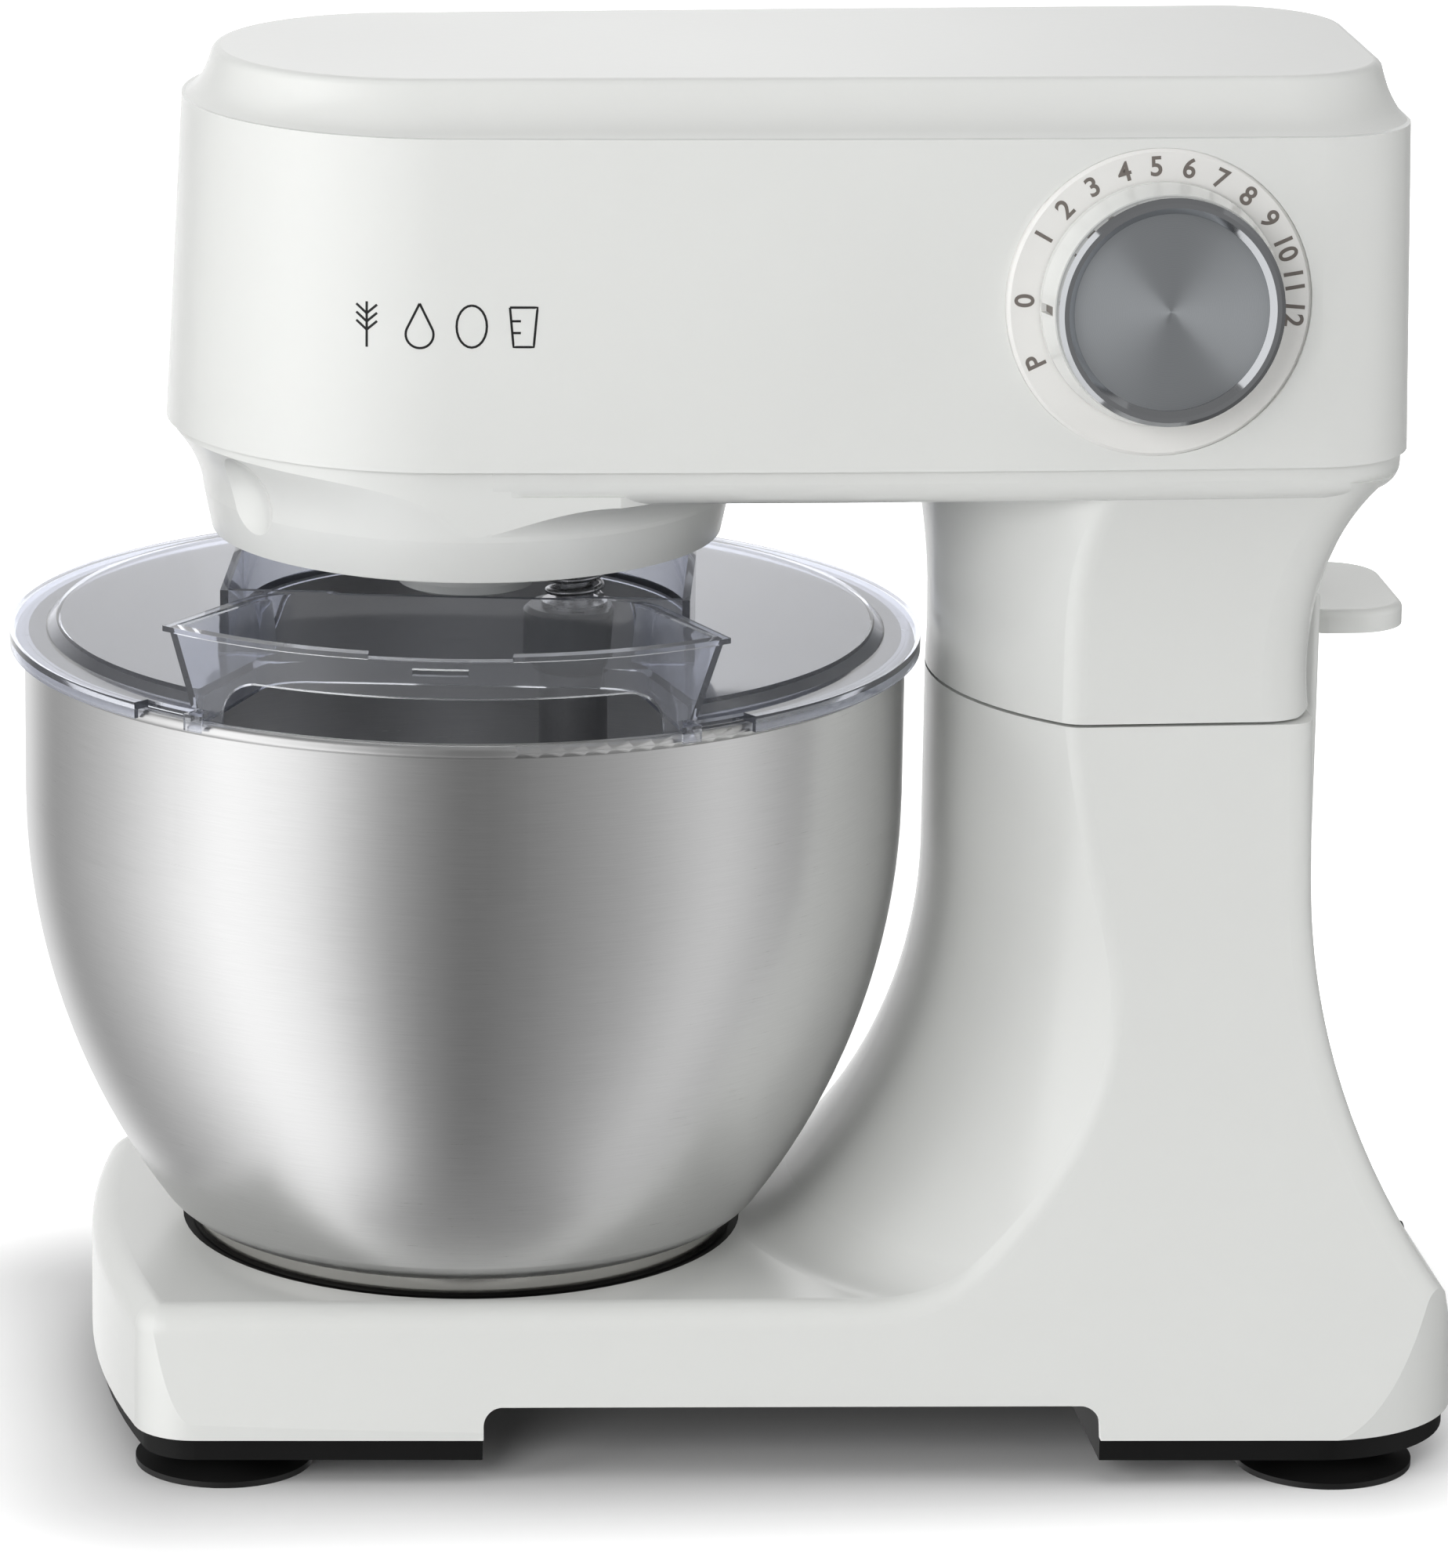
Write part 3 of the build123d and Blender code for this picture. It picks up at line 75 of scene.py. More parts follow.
def place_camera():
    level_reach = math.cos(view_rise)
    back = Vector((math.sin(view_turn) * level_reach, -math.cos(view_turn) * level_reach,
                   math.sin(view_rise)))
    right = (-back).cross(Vector((0, 0, 1))).normalized()
    up = right.cross(-back)
    tilted_right = math.cos(view_roll) * right + math.sin(view_roll) * up
    tilted_up = -math.sin(view_roll) * right + math.cos(view_roll) * up
    lens = bpy.data.cameras.new("photo_camera")
    lens.sensor_width = 36.0
    lens.lens = focal_px * lens.sensor_width / picture_height_px
    lens.clip_end = 50.0
    camera = bpy.data.objects.new("photo_camera", lens)
    turn = Matrix((tilted_right, tilted_up, back)).transposed().to_4x4()
    camera.matrix_world = Matrix.Translation(view_target + back * view_distance) @ turn
    bpy.context.collection.objects.link(camera)
    bpy.context.scene.camera = camera
    return lens.lens


print("lens in mm:", round(place_camera(), 2))


# %% [markdown]
# ## Small node helpers
#
# Every finish is a node tree. Seven helpers keep the cells short: two add a node and fill its sockets,
# one spreads a value over a range, one starts a material with its Principled shader, two make a node
# group and place it, and one gives a finish to pieces of the frame.

# %% Node helpers
def add_node(tree, kind, **values):
    node = tree.nodes.new(kind)
    for name, value in values.items():
        if name in node.inputs:
            node.inputs[name].default_value = value
        else:
            setattr(node, name, value)
    return node


def fill(node, **values):
    for name, value in values.items():
        node.inputs[name.replace("_", " ")].default_value = value
    return node


def ranged(tree, value, low, high):
    spread = add_node(tree, "ShaderNodeMapRange")
    spread.inputs["To Min"].default_value = low
    spread.inputs["To Max"].default_value = high
    tree.links.new(value, spread.inputs["Value"])
    return spread.outputs["Result"]


def new_material(name, colour, **values):
    material = bpy.data.materials.new(name)
    material.use_nodes = True
    material.diffuse_color = (*colour, 1.0)
    tree = material.node_tree
    shader = tree.nodes["Principled BSDF"]
    fill(shader, Base_Color=(*colour, 1.0), **values)
    return material, tree, shader


def new_group(name, inputs, outputs):
    group = bpy.data.node_groups.new(name, "ShaderNodeTree")
    for label, kind, value in inputs:
        socket = group.interface.new_socket(label, in_out="INPUT", socket_type=kind)
        socket.default_value = value
    for label, kind in outputs:
        group.interface.new_socket(label, in_out="OUTPUT", socket_type=kind)
    return group, group.nodes.new("NodeGroupInput"), group.nodes.new("NodeGroupOutput")


def use_group(tree, group, **values):
    node = tree.nodes.new("ShaderNodeGroup")
    node.node_tree = group
    return fill(node, **values)


def paint(material, *names):
    for name in names:
        slots = nodes[name].data.materials
        slots.clear()
        slots.append(material)


print("helpers ready")


# %% [markdown]
# ## Moulded skin
#
# An injection-moulded housing isn't a perfect mirror: the polished steel mould leaves a very shallow
# waviness, and handling leaves faint patches that are a little less shiny. One group makes both from two
# noises, and each plastic takes its own strength from it. The noise reads object coordinates, so it is
# the same size everywhere.

# %% Moulded skin group
FLOAT, COLOUR = "NodeSocketFloat", "NodeSocketColor"


def make_moulded_skin():
    group, given, made = new_group(
        "moulded_skin",
        [("Colour", COLOUR, (0.8, 0.8, 0.8, 1)), ("Shade", COLOUR, (0.75, 0.75, 0.75, 1)),
         ("Roughness", FLOAT, 0.25), ("Patchiness", FLOAT, 0.06), ("Grain Scale", FLOAT, 900.0)],
        [("Colour", COLOUR), ("Roughness", FLOAT), ("Height", FLOAT)])
    link = group.links.new
    place = add_node(group, "ShaderNodeTexCoord")
    patches = add_node(group, "ShaderNodeTexNoise", Scale=26.0, Detail=3.0, Roughness=0.55)
    grain = add_node(group, "ShaderNodeTexNoise", Detail=2.0, Roughness=0.6)
    link(place.outputs["Object"], patches.inputs["Vector"])
    link(place.outputs["Object"], grain.inputs["Vector"])
    link(given.outputs["Grain Scale"], grain.inputs["Scale"])
    blend = add_node(group, "ShaderNodeMix", data_type="RGBA")
    link(patches.outputs["Fac"], blend.inputs["Factor"])
    link(given.outputs["Colour"], blend.inputs["A"])
    link(given.outputs["Shade"], blend.inputs["B"])
    link(blend.outputs["Result"], made.inputs["Colour"])
    centred = add_node(group, "ShaderNodeMath", operation="SUBTRACT")
    centred.inputs[1].default_value = 0.5
    link(patches.outputs["Fac"], centred.inputs[0])
    spread = add_node(group, "ShaderNodeMath", operation="MULTIPLY_ADD", use_clamp=True)
    link(centred.outputs[0], spread.inputs[0])
    link(given.outputs["Patchiness"], spread.inputs[1])
    link(given.outputs["Roughness"], spread.inputs[2])
    link(spread.outputs[0], made.inputs["Roughness"])
    link(grain.outputs["Fac"], made.inputs["Height"])
    return group


moulded_skin = make_moulded_skin()


def moulded_plastic(name, colour, shade, roughness, patchiness, grain_scale, grain_depth, **values):
    material, tree, shader = new_material(name, colour, **values)
    skin = use_group(tree, moulded_skin, Colour=(*colour, 1), Shade=(*shade, 1), Roughness=roughness,
                     Patchiness=patchiness, Grain_Scale=grain_scale)
    bump = add_node(tree, "ShaderNodeBump", Strength=0.25, Distance=grain_depth)
    tree.links.new(skin.outputs["Colour"], shader.inputs["Base Color"])
    tree.links.new(skin.outputs["Roughness"], shader.inputs["Roughness"])
    tree.links.new(skin.outputs["Height"], bump.inputs["Height"])
    tree.links.new(bump.outputs["Normal"], shader.inputs["Normal"])
    return material


print("group:", moulded_skin.name)


# %% [markdown]
# ## White housings
#
# The head, the column and the base are glossy off-white plastic. Gloss on plastic is a clear reflection
# over a coloured body, which is what the Principled shader's base layer already does at an index of
# refraction of about 1.5, so no coat is needed. The dial plate is the same kind of plastic with a softer
# satin face.

# %% White plastics
white_housing = moulded_plastic("white_housing", (0.765, 0.775, 0.755), (0.745, 0.752, 0.735), roughness=0.20,
                                patchiness=0.05, grain_scale=420.0, grain_depth=0.04 * MM, IOR=1.52)
white_satin = moulded_plastic("white_satin", (0.82, 0.815, 0.795), (0.79, 0.785, 0.765), roughness=0.34,
                              patchiness=0.06, grain_scale=1400.0, grain_depth=0.04 * MM, IOR=1.5)
paint(white_housing, "base_shell", "rear_panel", "release_lever", "lower_housing", "head_cover", "speed_knob",
      "planet_hub")
paint(white_satin, "dial_ring")
print("white pieces painted")


# %% [markdown]
# ## Dark plastics and rubber
#
# The bottom cover is black plastic with a fine etched texture, which scatters light in every direction.
# The suction feet are soft rubber with patches that are a little greyer. The hook's collar is a dark grey
# moulding with some gloss.

# %% Dark plastics
black_texture = moulded_plastic("black_texture", (0.004, 0.004, 0.004), (0.007, 0.007, 0.007), roughness=0.60,
                                patchiness=0.12, grain_scale=2600.0, grain_depth=0.10 * MM, IOR=1.5,
                                Specular_IOR_Level=0.2)
foot_rubber = moulded_plastic("foot_rubber", (0.005, 0.005, 0.005), (0.012, 0.012, 0.012), roughness=0.50,
                              patchiness=0.25, grain_scale=1200.0, grain_depth=0.06 * MM, IOR=1.5,
                              Specular_IOR_Level=0.3)
collar_grey = moulded_plastic("collar_grey", (0.045, 0.048, 0.052), (0.060, 0.063, 0.067), roughness=0.30,
                              patchiness=0.10, grain_scale=1500.0, grain_depth=0.05 * MM, IOR=1.5)
paint(black_texture, "bottom_cover", "cord_gland", "bowl_seat", "cooling_fan", "brush_holders",
      "speed_switch")
paint(foot_rubber, "suction_foot_front_left", "suction_foot_front_right", "suction_foot_rear_left",
      "suction_foot_rear_right")
paint(collar_grey, "hook_collar", "motor_cradle")
print("dark pieces painted")


# %% [markdown]
# ## Brushed steel bowl
#
# The bowl was polished on a lathe with an abrasive belt, so its fine scratches run round it. Two things
# show that: the highlights stretch into vertical bands, and close up there are short streaks of slightly
# different shine. The stretch is the shader's anisotropy, with its tangent running round Z. The streaks
# are a noise in cylinder coordinates: the angle is squeezed and the height is stretched.

# %% Round brushing group
def make_round_brushing():
    group, given, made = new_group(
        "round_brushing",
        [("Axis X", FLOAT, 0.0), ("Axis Y", FLOAT, 0.0), ("Streaks", FLOAT, 2600.0),
         ("Length", FLOAT, 7.0)],
        [("Streak", FLOAT)])
    link = group.links.new
    place = add_node(group, "ShaderNodeTexCoord")
    split = add_node(group, "ShaderNodeSeparateXYZ")
    link(place.outputs["Object"], split.inputs[0])
    across = add_node(group, "ShaderNodeMath", operation="SUBTRACT")
    link(split.outputs["X"], across.inputs[0])
    link(given.outputs["Axis X"], across.inputs[1])
    along = add_node(group, "ShaderNodeMath", operation="SUBTRACT")
    link(split.outputs["Y"], along.inputs[0])
    link(given.outputs["Axis Y"], along.inputs[1])
    angle = add_node(group, "ShaderNodeMath", operation="ARCTAN2")
    link(along.outputs[0], angle.inputs[0])
    link(across.outputs[0], angle.inputs[1])
    around = add_node(group, "ShaderNodeMath", operation="MULTIPLY")
    link(angle.outputs[0], around.inputs[0])
    link(given.outputs["Length"], around.inputs[1])
    height = add_node(group, "ShaderNodeMath", operation="MULTIPLY")
    link(split.outputs["Z"], height.inputs[0])
    link(given.outputs["Streaks"], height.inputs[1])
    joined = add_node(group, "ShaderNodeCombineXYZ")
    link(around.outputs[0], joined.inputs["X"])
    link(height.outputs[0], joined.inputs["Y"])
    fine = add_node(group, "ShaderNodeTexNoise", Scale=1.0, Detail=4.0, Roughness=0.7)
    link(joined.outputs[0], fine.inputs["Vector"])
    link(fine.outputs["Fac"], made.inputs["Streak"])
    return group


round_brushing = make_round_brushing()
bowl_low, bowl_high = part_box("mixing_bowl")
bowl_axis = (Vector(bowl_low) + Vector(bowl_high)) / 2
print("bowl axis at", round(bowl_axis.x, 4), round(bowl_axis.y, 4))


# %% [markdown]
# ## The metals
#
# The bowl takes the brushing round its own axis. The machine parts inside take it round the middle of the
# mixer, which is enough for marks as fine as theirs. Turned steel has short fine marks, cast metal has
# coarse dull ones, and copper and bronze differ mostly by colour.

# %% Brushed and turned metals
streak_dark = 0.86
streak_contrast = 1.4
streak_depth = 0.02 * MM
mixer_axis = Vector((0.0, 0.0, 0.0))


def brushed_metal(name, colour, axis, streaks, length, roughness, spread, anisotropy):
    material, tree, shader = new_material(name, colour, Metallic=1.0, Anisotropic=anisotropy,
                                          Anisotropic_Rotation=0.25)
    brushing = use_group(tree, round_brushing, Axis_X=axis.x, Axis_Y=axis.y, Streaks=streaks, Length=length)
    streak = brushing.outputs["Streak"]
    tree.links.new(ranged(tree, streak, roughness - spread, roughness + spread), shader.inputs["Roughness"])
    shade = add_node(tree, "ShaderNodeMix", data_type="RGBA")
    shade.inputs["A"].default_value = (*[c * streak_dark for c in colour], 1)
    shade.inputs["B"].default_value = (*colour, 1)
    tree.links.new(ranged(tree, streak, 0.0, streak_contrast), shade.inputs["Factor"])
    tree.links.new(shade.outputs["Result"], shader.inputs["Base Color"])
    bump = add_node(tree, "ShaderNodeBump", Strength=0.12, Distance=streak_depth)
    tree.links.new(streak, bump.inputs["Height"])
    tree.links.new(bump.outputs["Normal"], shader.inputs["Normal"])
    tangent = add_node(tree, "ShaderNodeTangent", direction_type="RADIAL", axis="Z")
    tree.links.new(tangent.outputs[0], shader.inputs["Tangent"])
    return material


bowl_steel = brushed_metal("bowl_steel", (0.66, 0.66, 0.66), bowl_axis, streaks=2600.0, length=7.0,
                           roughness=0.30, spread=0.07, anisotropy=0.55)
turned_steel = brushed_metal("turned_steel", (0.58, 0.58, 0.59), mixer_axis, streaks=3000.0, length=30.0,
                             roughness=0.28, spread=0.08, anisotropy=0.2)
cast_metal = brushed_metal("cast_metal", (0.52, 0.52, 0.53), mixer_axis, streaks=600.0, length=90.0,
                           roughness=0.42, spread=0.08, anisotropy=0.0)
copper_wire = brushed_metal("copper_wire", (0.62, 0.30, 0.16), mixer_axis, streaks=2500.0, length=40.0,
                            roughness=0.35, spread=0.08, anisotropy=0.0)
bush_bronze = brushed_metal("bush_bronze", (0.55, 0.38, 0.18), mixer_axis, streaks=2000.0, length=60.0,
                            roughness=0.35, spread=0.08, anisotropy=0.0)
paint(bowl_steel, "mixing_bowl")
paint(turned_steel, "cover_screws", "hinge_bracket", "bracket_screws", "hinge_pins", "lever_pin",
      "lever_spring", "ring_gear", "drive_bearing_lower", "drive_bearing_upper", "worm_bearing",
      "motor_stator", "motor_bearing_front", "motor_bearing_rear", "motor_shaft", "worm", "armature",
      "drive_shaft", "tool_shaft", "planet_pinion", "cross_pin", "tool_washer", "tool_spring", "switch_shaft")
paint(cast_metal, "dough_hook", "gear_frame", "motor_front_bracket", "motor_rear_bracket")
paint(copper_wire, "field_coils", "armature_windings", "commutator")
paint(bush_bronze, "hinge_bushes", "tool_bush")
print("metals painted")


# %% [markdown]
# ## Polished trim
#
# The ring round the knob and the bowl's foot are polished bright. A perfect mirror looks false, so a
# faint smear pattern lifts the roughness here and there, as fingers do.

# %% Polished trim
def polished_metal(name, colour, roughness, smear):
    material, tree, shader = new_material(name, colour, Metallic=1.0)
    place = add_node(tree, "ShaderNodeTexCoord")
    noise = add_node(tree, "ShaderNodeTexNoise", Scale=60.0, Detail=4.0, Roughness=0.6)
    tree.links.new(place.outputs["Object"], noise.inputs["Vector"])
    shine = ranged(tree, noise.outputs["Fac"], roughness, roughness + smear)
    tree.links.new(shine, shader.inputs["Roughness"])
    return material


chrome_ring = polished_metal("chrome_ring", (0.40, 0.41, 0.425), roughness=0.04, smear=0.10)
polished_foot = polished_metal("polished_foot", (0.50, 0.49, 0.47), roughness=0.10, smear=0.14)
paint(chrome_ring, "knob_ring")
paint(polished_foot, "bowl_foot")
print("polished pieces painted")


# %% [markdown]
# ## Spun knob cap
#
# The knob's cap is a disc turned on a lathe with a fine tool. Its rings are too small to see one by one,
# but they spread each reflection into a fan of light and dark wedges that meet in the middle. Anisotropy
# with a tangent running round the disc's axis gives the wedges, and a ring pattern from the distance to
# the axis gives the faint ripples. The axis is that of the dial's joint in the frame.

# %% Spun cap
dial_joint = next(joint for joint in frame["joints"] if joint["name"] == "dial_turn")
dial_centre = Vector(dial_joint["pos_m"])
dial_out = -Vector(dial_joint["axis"]).normalized()
dial_right = Vector((0.0, 0.0, 1.0)).cross(dial_out).normalized()
dial_up = dial_out.cross(dial_right)
ring_pitch = 0.45 * MM
ring_depth = 0.02 * MM


def make_spun_metal():
    material, tree, shader = new_material("spun_cap", (0.70, 0.73, 0.76), Metallic=1.0, Anisotropic=1.0,
                                          Anisotropic_Rotation=0.25)
    place = add_node(tree, "ShaderNodeTexCoord")
    shifted = add_node(tree, "ShaderNodeVectorMath", operation="SUBTRACT")
    shifted.inputs[1].default_value = dial_centre
    tree.links.new(place.outputs["Object"], shifted.inputs[0])
    sideways = add_node(tree, "ShaderNodeVectorMath", operation="CROSS_PRODUCT")
    sideways.inputs[1].default_value = dial_out
    tree.links.new(shifted.outputs["Vector"], sideways.inputs[0])
    reach = add_node(tree, "ShaderNodeVectorMath", operation="LENGTH")
    tree.links.new(sideways.outputs["Vector"], reach.inputs[0])
    rings = add_node(tree, "ShaderNodeMath", operation="MULTIPLY")
    rings.inputs[1].default_value = 2.0 * math.pi / ring_pitch
    tree.links.new(reach.outputs["Value"], rings.inputs[0])
    wave = add_node(tree, "ShaderNodeMath", operation="SINE")
    tree.links.new(rings.outputs[0], wave.inputs[0])
    ripple = add_node(tree, "ShaderNodeMapRange")
    ripple.inputs["From Min"].default_value = -1.0
    ripple.inputs["To Min"].default_value = 0.46
    ripple.inputs["To Max"].default_value = 0.60
    tree.links.new(wave.outputs[0], ripple.inputs["Value"])
    tree.links.new(ripple.outputs["Result"], shader.inputs["Roughness"])
    bump = add_node(tree, "ShaderNodeBump", Strength=0.10, Distance=ring_depth)
    tree.links.new(wave.outputs[0], bump.inputs["Height"])
    tree.links.new(bump.outputs["Normal"], shader.inputs["Normal"])
    tangent = add_node(tree, "ShaderNodeTangent", direction_type="RADIAL", axis="Y")
    tree.links.new(tangent.outputs[0], shader.inputs["Tangent"])
    return material


paint(make_spun_metal(), "knob_cap")
print("knob cap spun about", [round(c, 4) for c in dial_out])


# %% [markdown]
# ## Clear splash guard
#
# The guard is clear plastic with a trace of grey. Its slanting faces and cut edges turn blue-grey,
# because there the light travels further through the sheet. Glass in a path tracer throws dark shadows,
# so shadow rays pass through a transparent shader with a fainter tint.

# %% Clear plastic
sheet_tint = (0.82, 0.83, 0.855, 1)
edge_tint = (0.66, 0.70, 0.86, 1)
shadow_tint = (0.93, 0.945, 0.96, 1)


def make_clear_plastic():
    material, tree, shader = new_material("clear_guard", (0.90, 0.92, 0.95), Transmission_Weight=0.97,
                                          IOR=1.42)
    slant = add_node(tree, "ShaderNodeLayerWeight", Blend=0.5)
    tint = add_node(tree, "ShaderNodeMix", data_type="RGBA")
    tint.inputs["A"].default_value = sheet_tint
    tint.inputs["B"].default_value = edge_tint
    tree.links.new(slant.outputs["Facing"], tint.inputs["Factor"])
    tree.links.new(tint.outputs["Result"], shader.inputs["Base Color"])
    place = add_node(tree, "ShaderNodeTexCoord")
    noise = add_node(tree, "ShaderNodeTexNoise", Scale=45.0, Detail=3.0)
    tree.links.new(place.outputs["Object"], noise.inputs["Vector"])
    tree.links.new(ranged(tree, noise.outputs["Fac"], 0.015, 0.07), shader.inputs["Roughness"])
    clear = add_node(tree, "ShaderNodeBsdfTransparent", Color=shadow_tint)
    path = add_node(tree, "ShaderNodeLightPath")
    choice = add_node(tree, "ShaderNodeMixShader")
    tree.links.new(path.outputs["Is Shadow Ray"], choice.inputs[0])
    tree.links.new(shader.outputs[0], choice.inputs[1])
    tree.links.new(clear.outputs[0], choice.inputs[2])
    tree.links.new(choice.outputs[0], tree.nodes["Material Output"].inputs["Surface"])
    return material


paint(make_clear_plastic(), "splash_guard")
print("guard is clear")


# %% [markdown]
# ## Inner pieces
#
# The worm wheel is ivory nylon, and the control board is green lacquered laminate. They are behind the
# covers, but a reader who lifts a cover off should find them finished.

# %% Inner pieces
gear_nylon = moulded_plastic("gear_nylon", (0.72, 0.69, 0.58), (0.68, 0.65, 0.54), roughness=0.40,
                             patchiness=0.08, grain_scale=900.0, grain_depth=0.04 * MM)
board_lacquer = moulded_plastic("board_lacquer", (0.010, 0.10, 0.035), (0.014, 0.13, 0.05), roughness=0.30,
                                patchiness=0.10, grain_scale=3000.0, grain_depth=0.03 * MM)
paint(gear_nylon, "worm_wheel")
paint(board_lacquer, "control_board")
print("inner pieces painted")


# %% [markdown]
# ## Ink
#
# Everything printed on the mixer is a thin closed piece of ink that rides on the part it is printed on.
# Ink dries a little uneven, so a very fine noise varies its shine. The dial has a brown-grey ink, the
# line drawings a black one.

# %% Ink
def make_ink(name, colour):
    material, tree, shader = new_material(name, colour, IOR=1.45)
    place = add_node(tree, "ShaderNodeTexCoord")
    noise = add_node(tree, "ShaderNodeTexNoise", Scale=2500.0, Detail=2.0)
    tree.links.new(place.outputs["Object"], noise.inputs["Vector"])
    tree.links.new(ranged(tree, noise.outputs["Fac"], 0.40, 0.60), shader.inputs["Roughness"])
    return material


def link_print(name, whole, material, body):
    data = bpy.data.meshes.new(name)
    whole.to_mesh(data)
    whole.free()
    data.materials.append(material)
    piece = bpy.data.objects.new(name, data)
    bpy.context.collection.objects.link(piece)
    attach(piece, body)
    return piece


dial_ink = make_ink("dial_ink", (0.17, 0.150, 0.135))
line_ink = make_ink("line_ink", (0.010, 0.010, 0.010))
print("inks:", dial_ink.name, line_ink.name)


# %% [markdown]
# ## Speed numbers
#
# The numbers are pad-printed round the dial, each with its top pointing outwards. Blender's own font is
# close to the rounded figures of such dials. Each figure is made as text, turned into a mesh and laid on
# the dial plate, and all of them are joined into one piece.

# %% Dial numbers
number_radius = 34.6 * MM
number_size = 7.0 * MM
number_swell = 0.13 * MM
ink_depth = 0.03 * MM
dial_proud = 1.4 * MM
speed_marks = [("P", 204.5), ("0", 178.0), ("1", 150.0), ("2", 135.7), ("3", 121.0), ("4", 106.4),
               ("5", 92.7), ("6", 78.6), ("7", 64.5), ("8", 50.6), ("9", 37.0), ("10", 23.0), ("11", 8.6),
               ("12", -5.3)]


def figure_mesh(text):
    curve = bpy.data.curves.new("figure", "FONT")
    curve.body = text
    curve.size = number_size
    curve.align_x = "CENTER"
    curve.align_y = "CENTER"
    curve.extrude = ink_depth
    curve.offset = number_swell
    holder = bpy.data.objects.new("figure", curve)
    bpy.context.collection.objects.link(holder)
    evaluated = holder.evaluated_get(bpy.context.evaluated_depsgraph_get())
    mesh = bpy.data.meshes.new_from_object(evaluated)
    bpy.data.objects.remove(holder)
    return mesh


def make_dial_numbers():
    whole = bmesh.new()
    for text, degrees in speed_marks:
        angle = math.radians(degrees)
        outward = math.cos(angle) * dial_right + math.sin(angle) * dial_up
        sideways = math.sin(angle) * dial_right - math.cos(angle) * dial_up
        spot = dial_centre + dial_out * (dial_proud + ink_depth) + outward * number_radius
        turn = Matrix((sideways, outward, dial_out)).transposed().to_4x4()
        mesh = figure_mesh(text)
        mesh.transform(Matrix.Translation(spot) @ turn)
        whole.from_mesh(mesh)
        bpy.data.meshes.remove(mesh)
    piece = link_print("dial_numbers", whole, dial_ink, "head")
    return piece


print("dial figures:", len(speed_marks), "faces:", len(make_dial_numbers().data.polygons))


# %% [markdown]
# ## Kitchen signs
#
# A row of small line drawings decorates the side of the head: an ear of grain, a drop, an egg and a
# measuring cup. Each sign is a few strokes in a square of side 1. A stroke becomes a thin ribbon, and
# every point of it is dropped onto the housing along +Y, so the ink follows the curved wall.

# %% Kitchen signs
sign_height = 11.5 * MM
sign_gap = 13.0 * MM
sign_centre = (-0.081, 0.302)
stroke_width = 0.6 * MM
stroke_step = 0.8 * MM
print_lift = 0.04 * MM
arc_steps = 24


def arc(centre, radius, start, end, stretch=1.0):
    angles = [math.radians(start + (end - start) * k / arc_steps) for k in range(arc_steps + 1)]
    return [(centre[0] + radius * math.cos(a), centre[1] + radius * stretch * math.sin(a)) for a in angles]


def grain_ear():
    stem = [(0.0, -0.5), (0.0, 0.5)]
    levels = (-0.12, 0.06, 0.24)
    return [stem, *[[(0.0, z), (0.22 * side, z + 0.2)] for z in levels for side in (-1, 1)]]


def water_drop():
    tip = (0.0, 0.5)
    return [[tip, *arc((0.0, -0.18), 0.30, 150, 390), tip]]


def whole_egg():
    return [arc((0.0, 0.0), 0.33, 90, 450, stretch=1.4)]


def measuring_cup():
    cup = [(-0.30, 0.42), (-0.22, -0.45), (0.22, -0.45), (0.30, 0.42), (-0.30, 0.42)]
    return [cup, [(-0.28, 0.12), (-0.06, 0.12)], [(-0.25, -0.14), (-0.06, -0.14)]]


kitchen_signs = [grain_ear(), water_drop(), whole_egg(), measuring_cup()]


def in_steps(points, step):
    """The same line with points no further apart than step."""
    line = [Vector(points[0])]
    for start, end in zip(map(Vector, points), map(Vector, points[1:])):
        count = max(1, math.ceil((end - start).length / step))
        line += [start.lerp(end, k / count) for k in range(1, count + 1)]
    return line


def drop_on(target, spot, lift):
    in_front = Vector((spot.x, -1.0, spot.y))
    _, place, normal, _ = target.ray_cast(in_front, Vector((0.0, 1.0, 0.0)))
    return place + normal * lift


def add_ribbon(whole, points, width, put):
    """Flat closed strip along the points, with its two faces just above and below the surface."""
    sections = []
    for k, point in enumerate(points):
        ahead = Vector(points[min(k + 1, len(points) - 1)])
        behind = Vector(points[max(k - 1, 0)])
        along = (ahead - behind).normalized()
        side = Vector((-along.y, along.x)) * width / 2
        left, right = Vector(point) + side, Vector(point) - side
        corners = ((left, print_lift), (right, print_lift), (right, -print_lift), (left, -print_lift))
        sections.append([whole.verts.new(put(spot, lift)) for spot, lift in corners])
    for first, last in zip(sections, sections[1:]):
        for k in range(4):
            whole.faces.new((first[k], first[(k + 1) % 4], last[(k + 1) % 4], last[k]))
    whole.faces.new(sections[0][::-1])
    whole.faces.new(sections[-1])


def make_kitchen_signs():
    cover = nodes["head_cover"]
    whole = bmesh.new()
    for place, strokes in enumerate(kitchen_signs):
        middle_x = sign_centre[0] + sign_gap * (place - (len(kitchen_signs) - 1) / 2)
        for points in strokes:
            sized = [(middle_x + x * sign_height, sign_centre[1] + z * sign_height) for x, z in points]
            add_ribbon(whole, in_steps(sized, stroke_step), stroke_width,
                       lambda spot, lift: drop_on(cover, spot, lift))
    return link_print("kitchen_signs", whole, line_ink, "head")


print("sign faces:", len(make_kitchen_signs().data.polygons))


# %% [markdown]
# ## Knob pointer
#
# The knob's skirt has a short groove that points at the numbers. A strip of ink on the floor of the
# groove makes it readable, and it rides on the knob, so it turns with it.

# %% Knob pointer
groove_floor = 29.6 * MM
pointer_width = 2.2 * MM
pointer_low, pointer_high = 3.6 * MM, 11.4 * MM


def in_groove(spot, lift):
    return dial_centre + dial_out * spot.x + dial_up * spot.y - dial_right * (groove_floor + lift)


def make_knob_pointer():
    whole = bmesh.new()
    add_ribbon(whole, [(pointer_low, 0.0), (pointer_high, 0.0)], pointer_width, in_groove)
    return link_print("knob_pointer", whole, dial_ink, "knob")


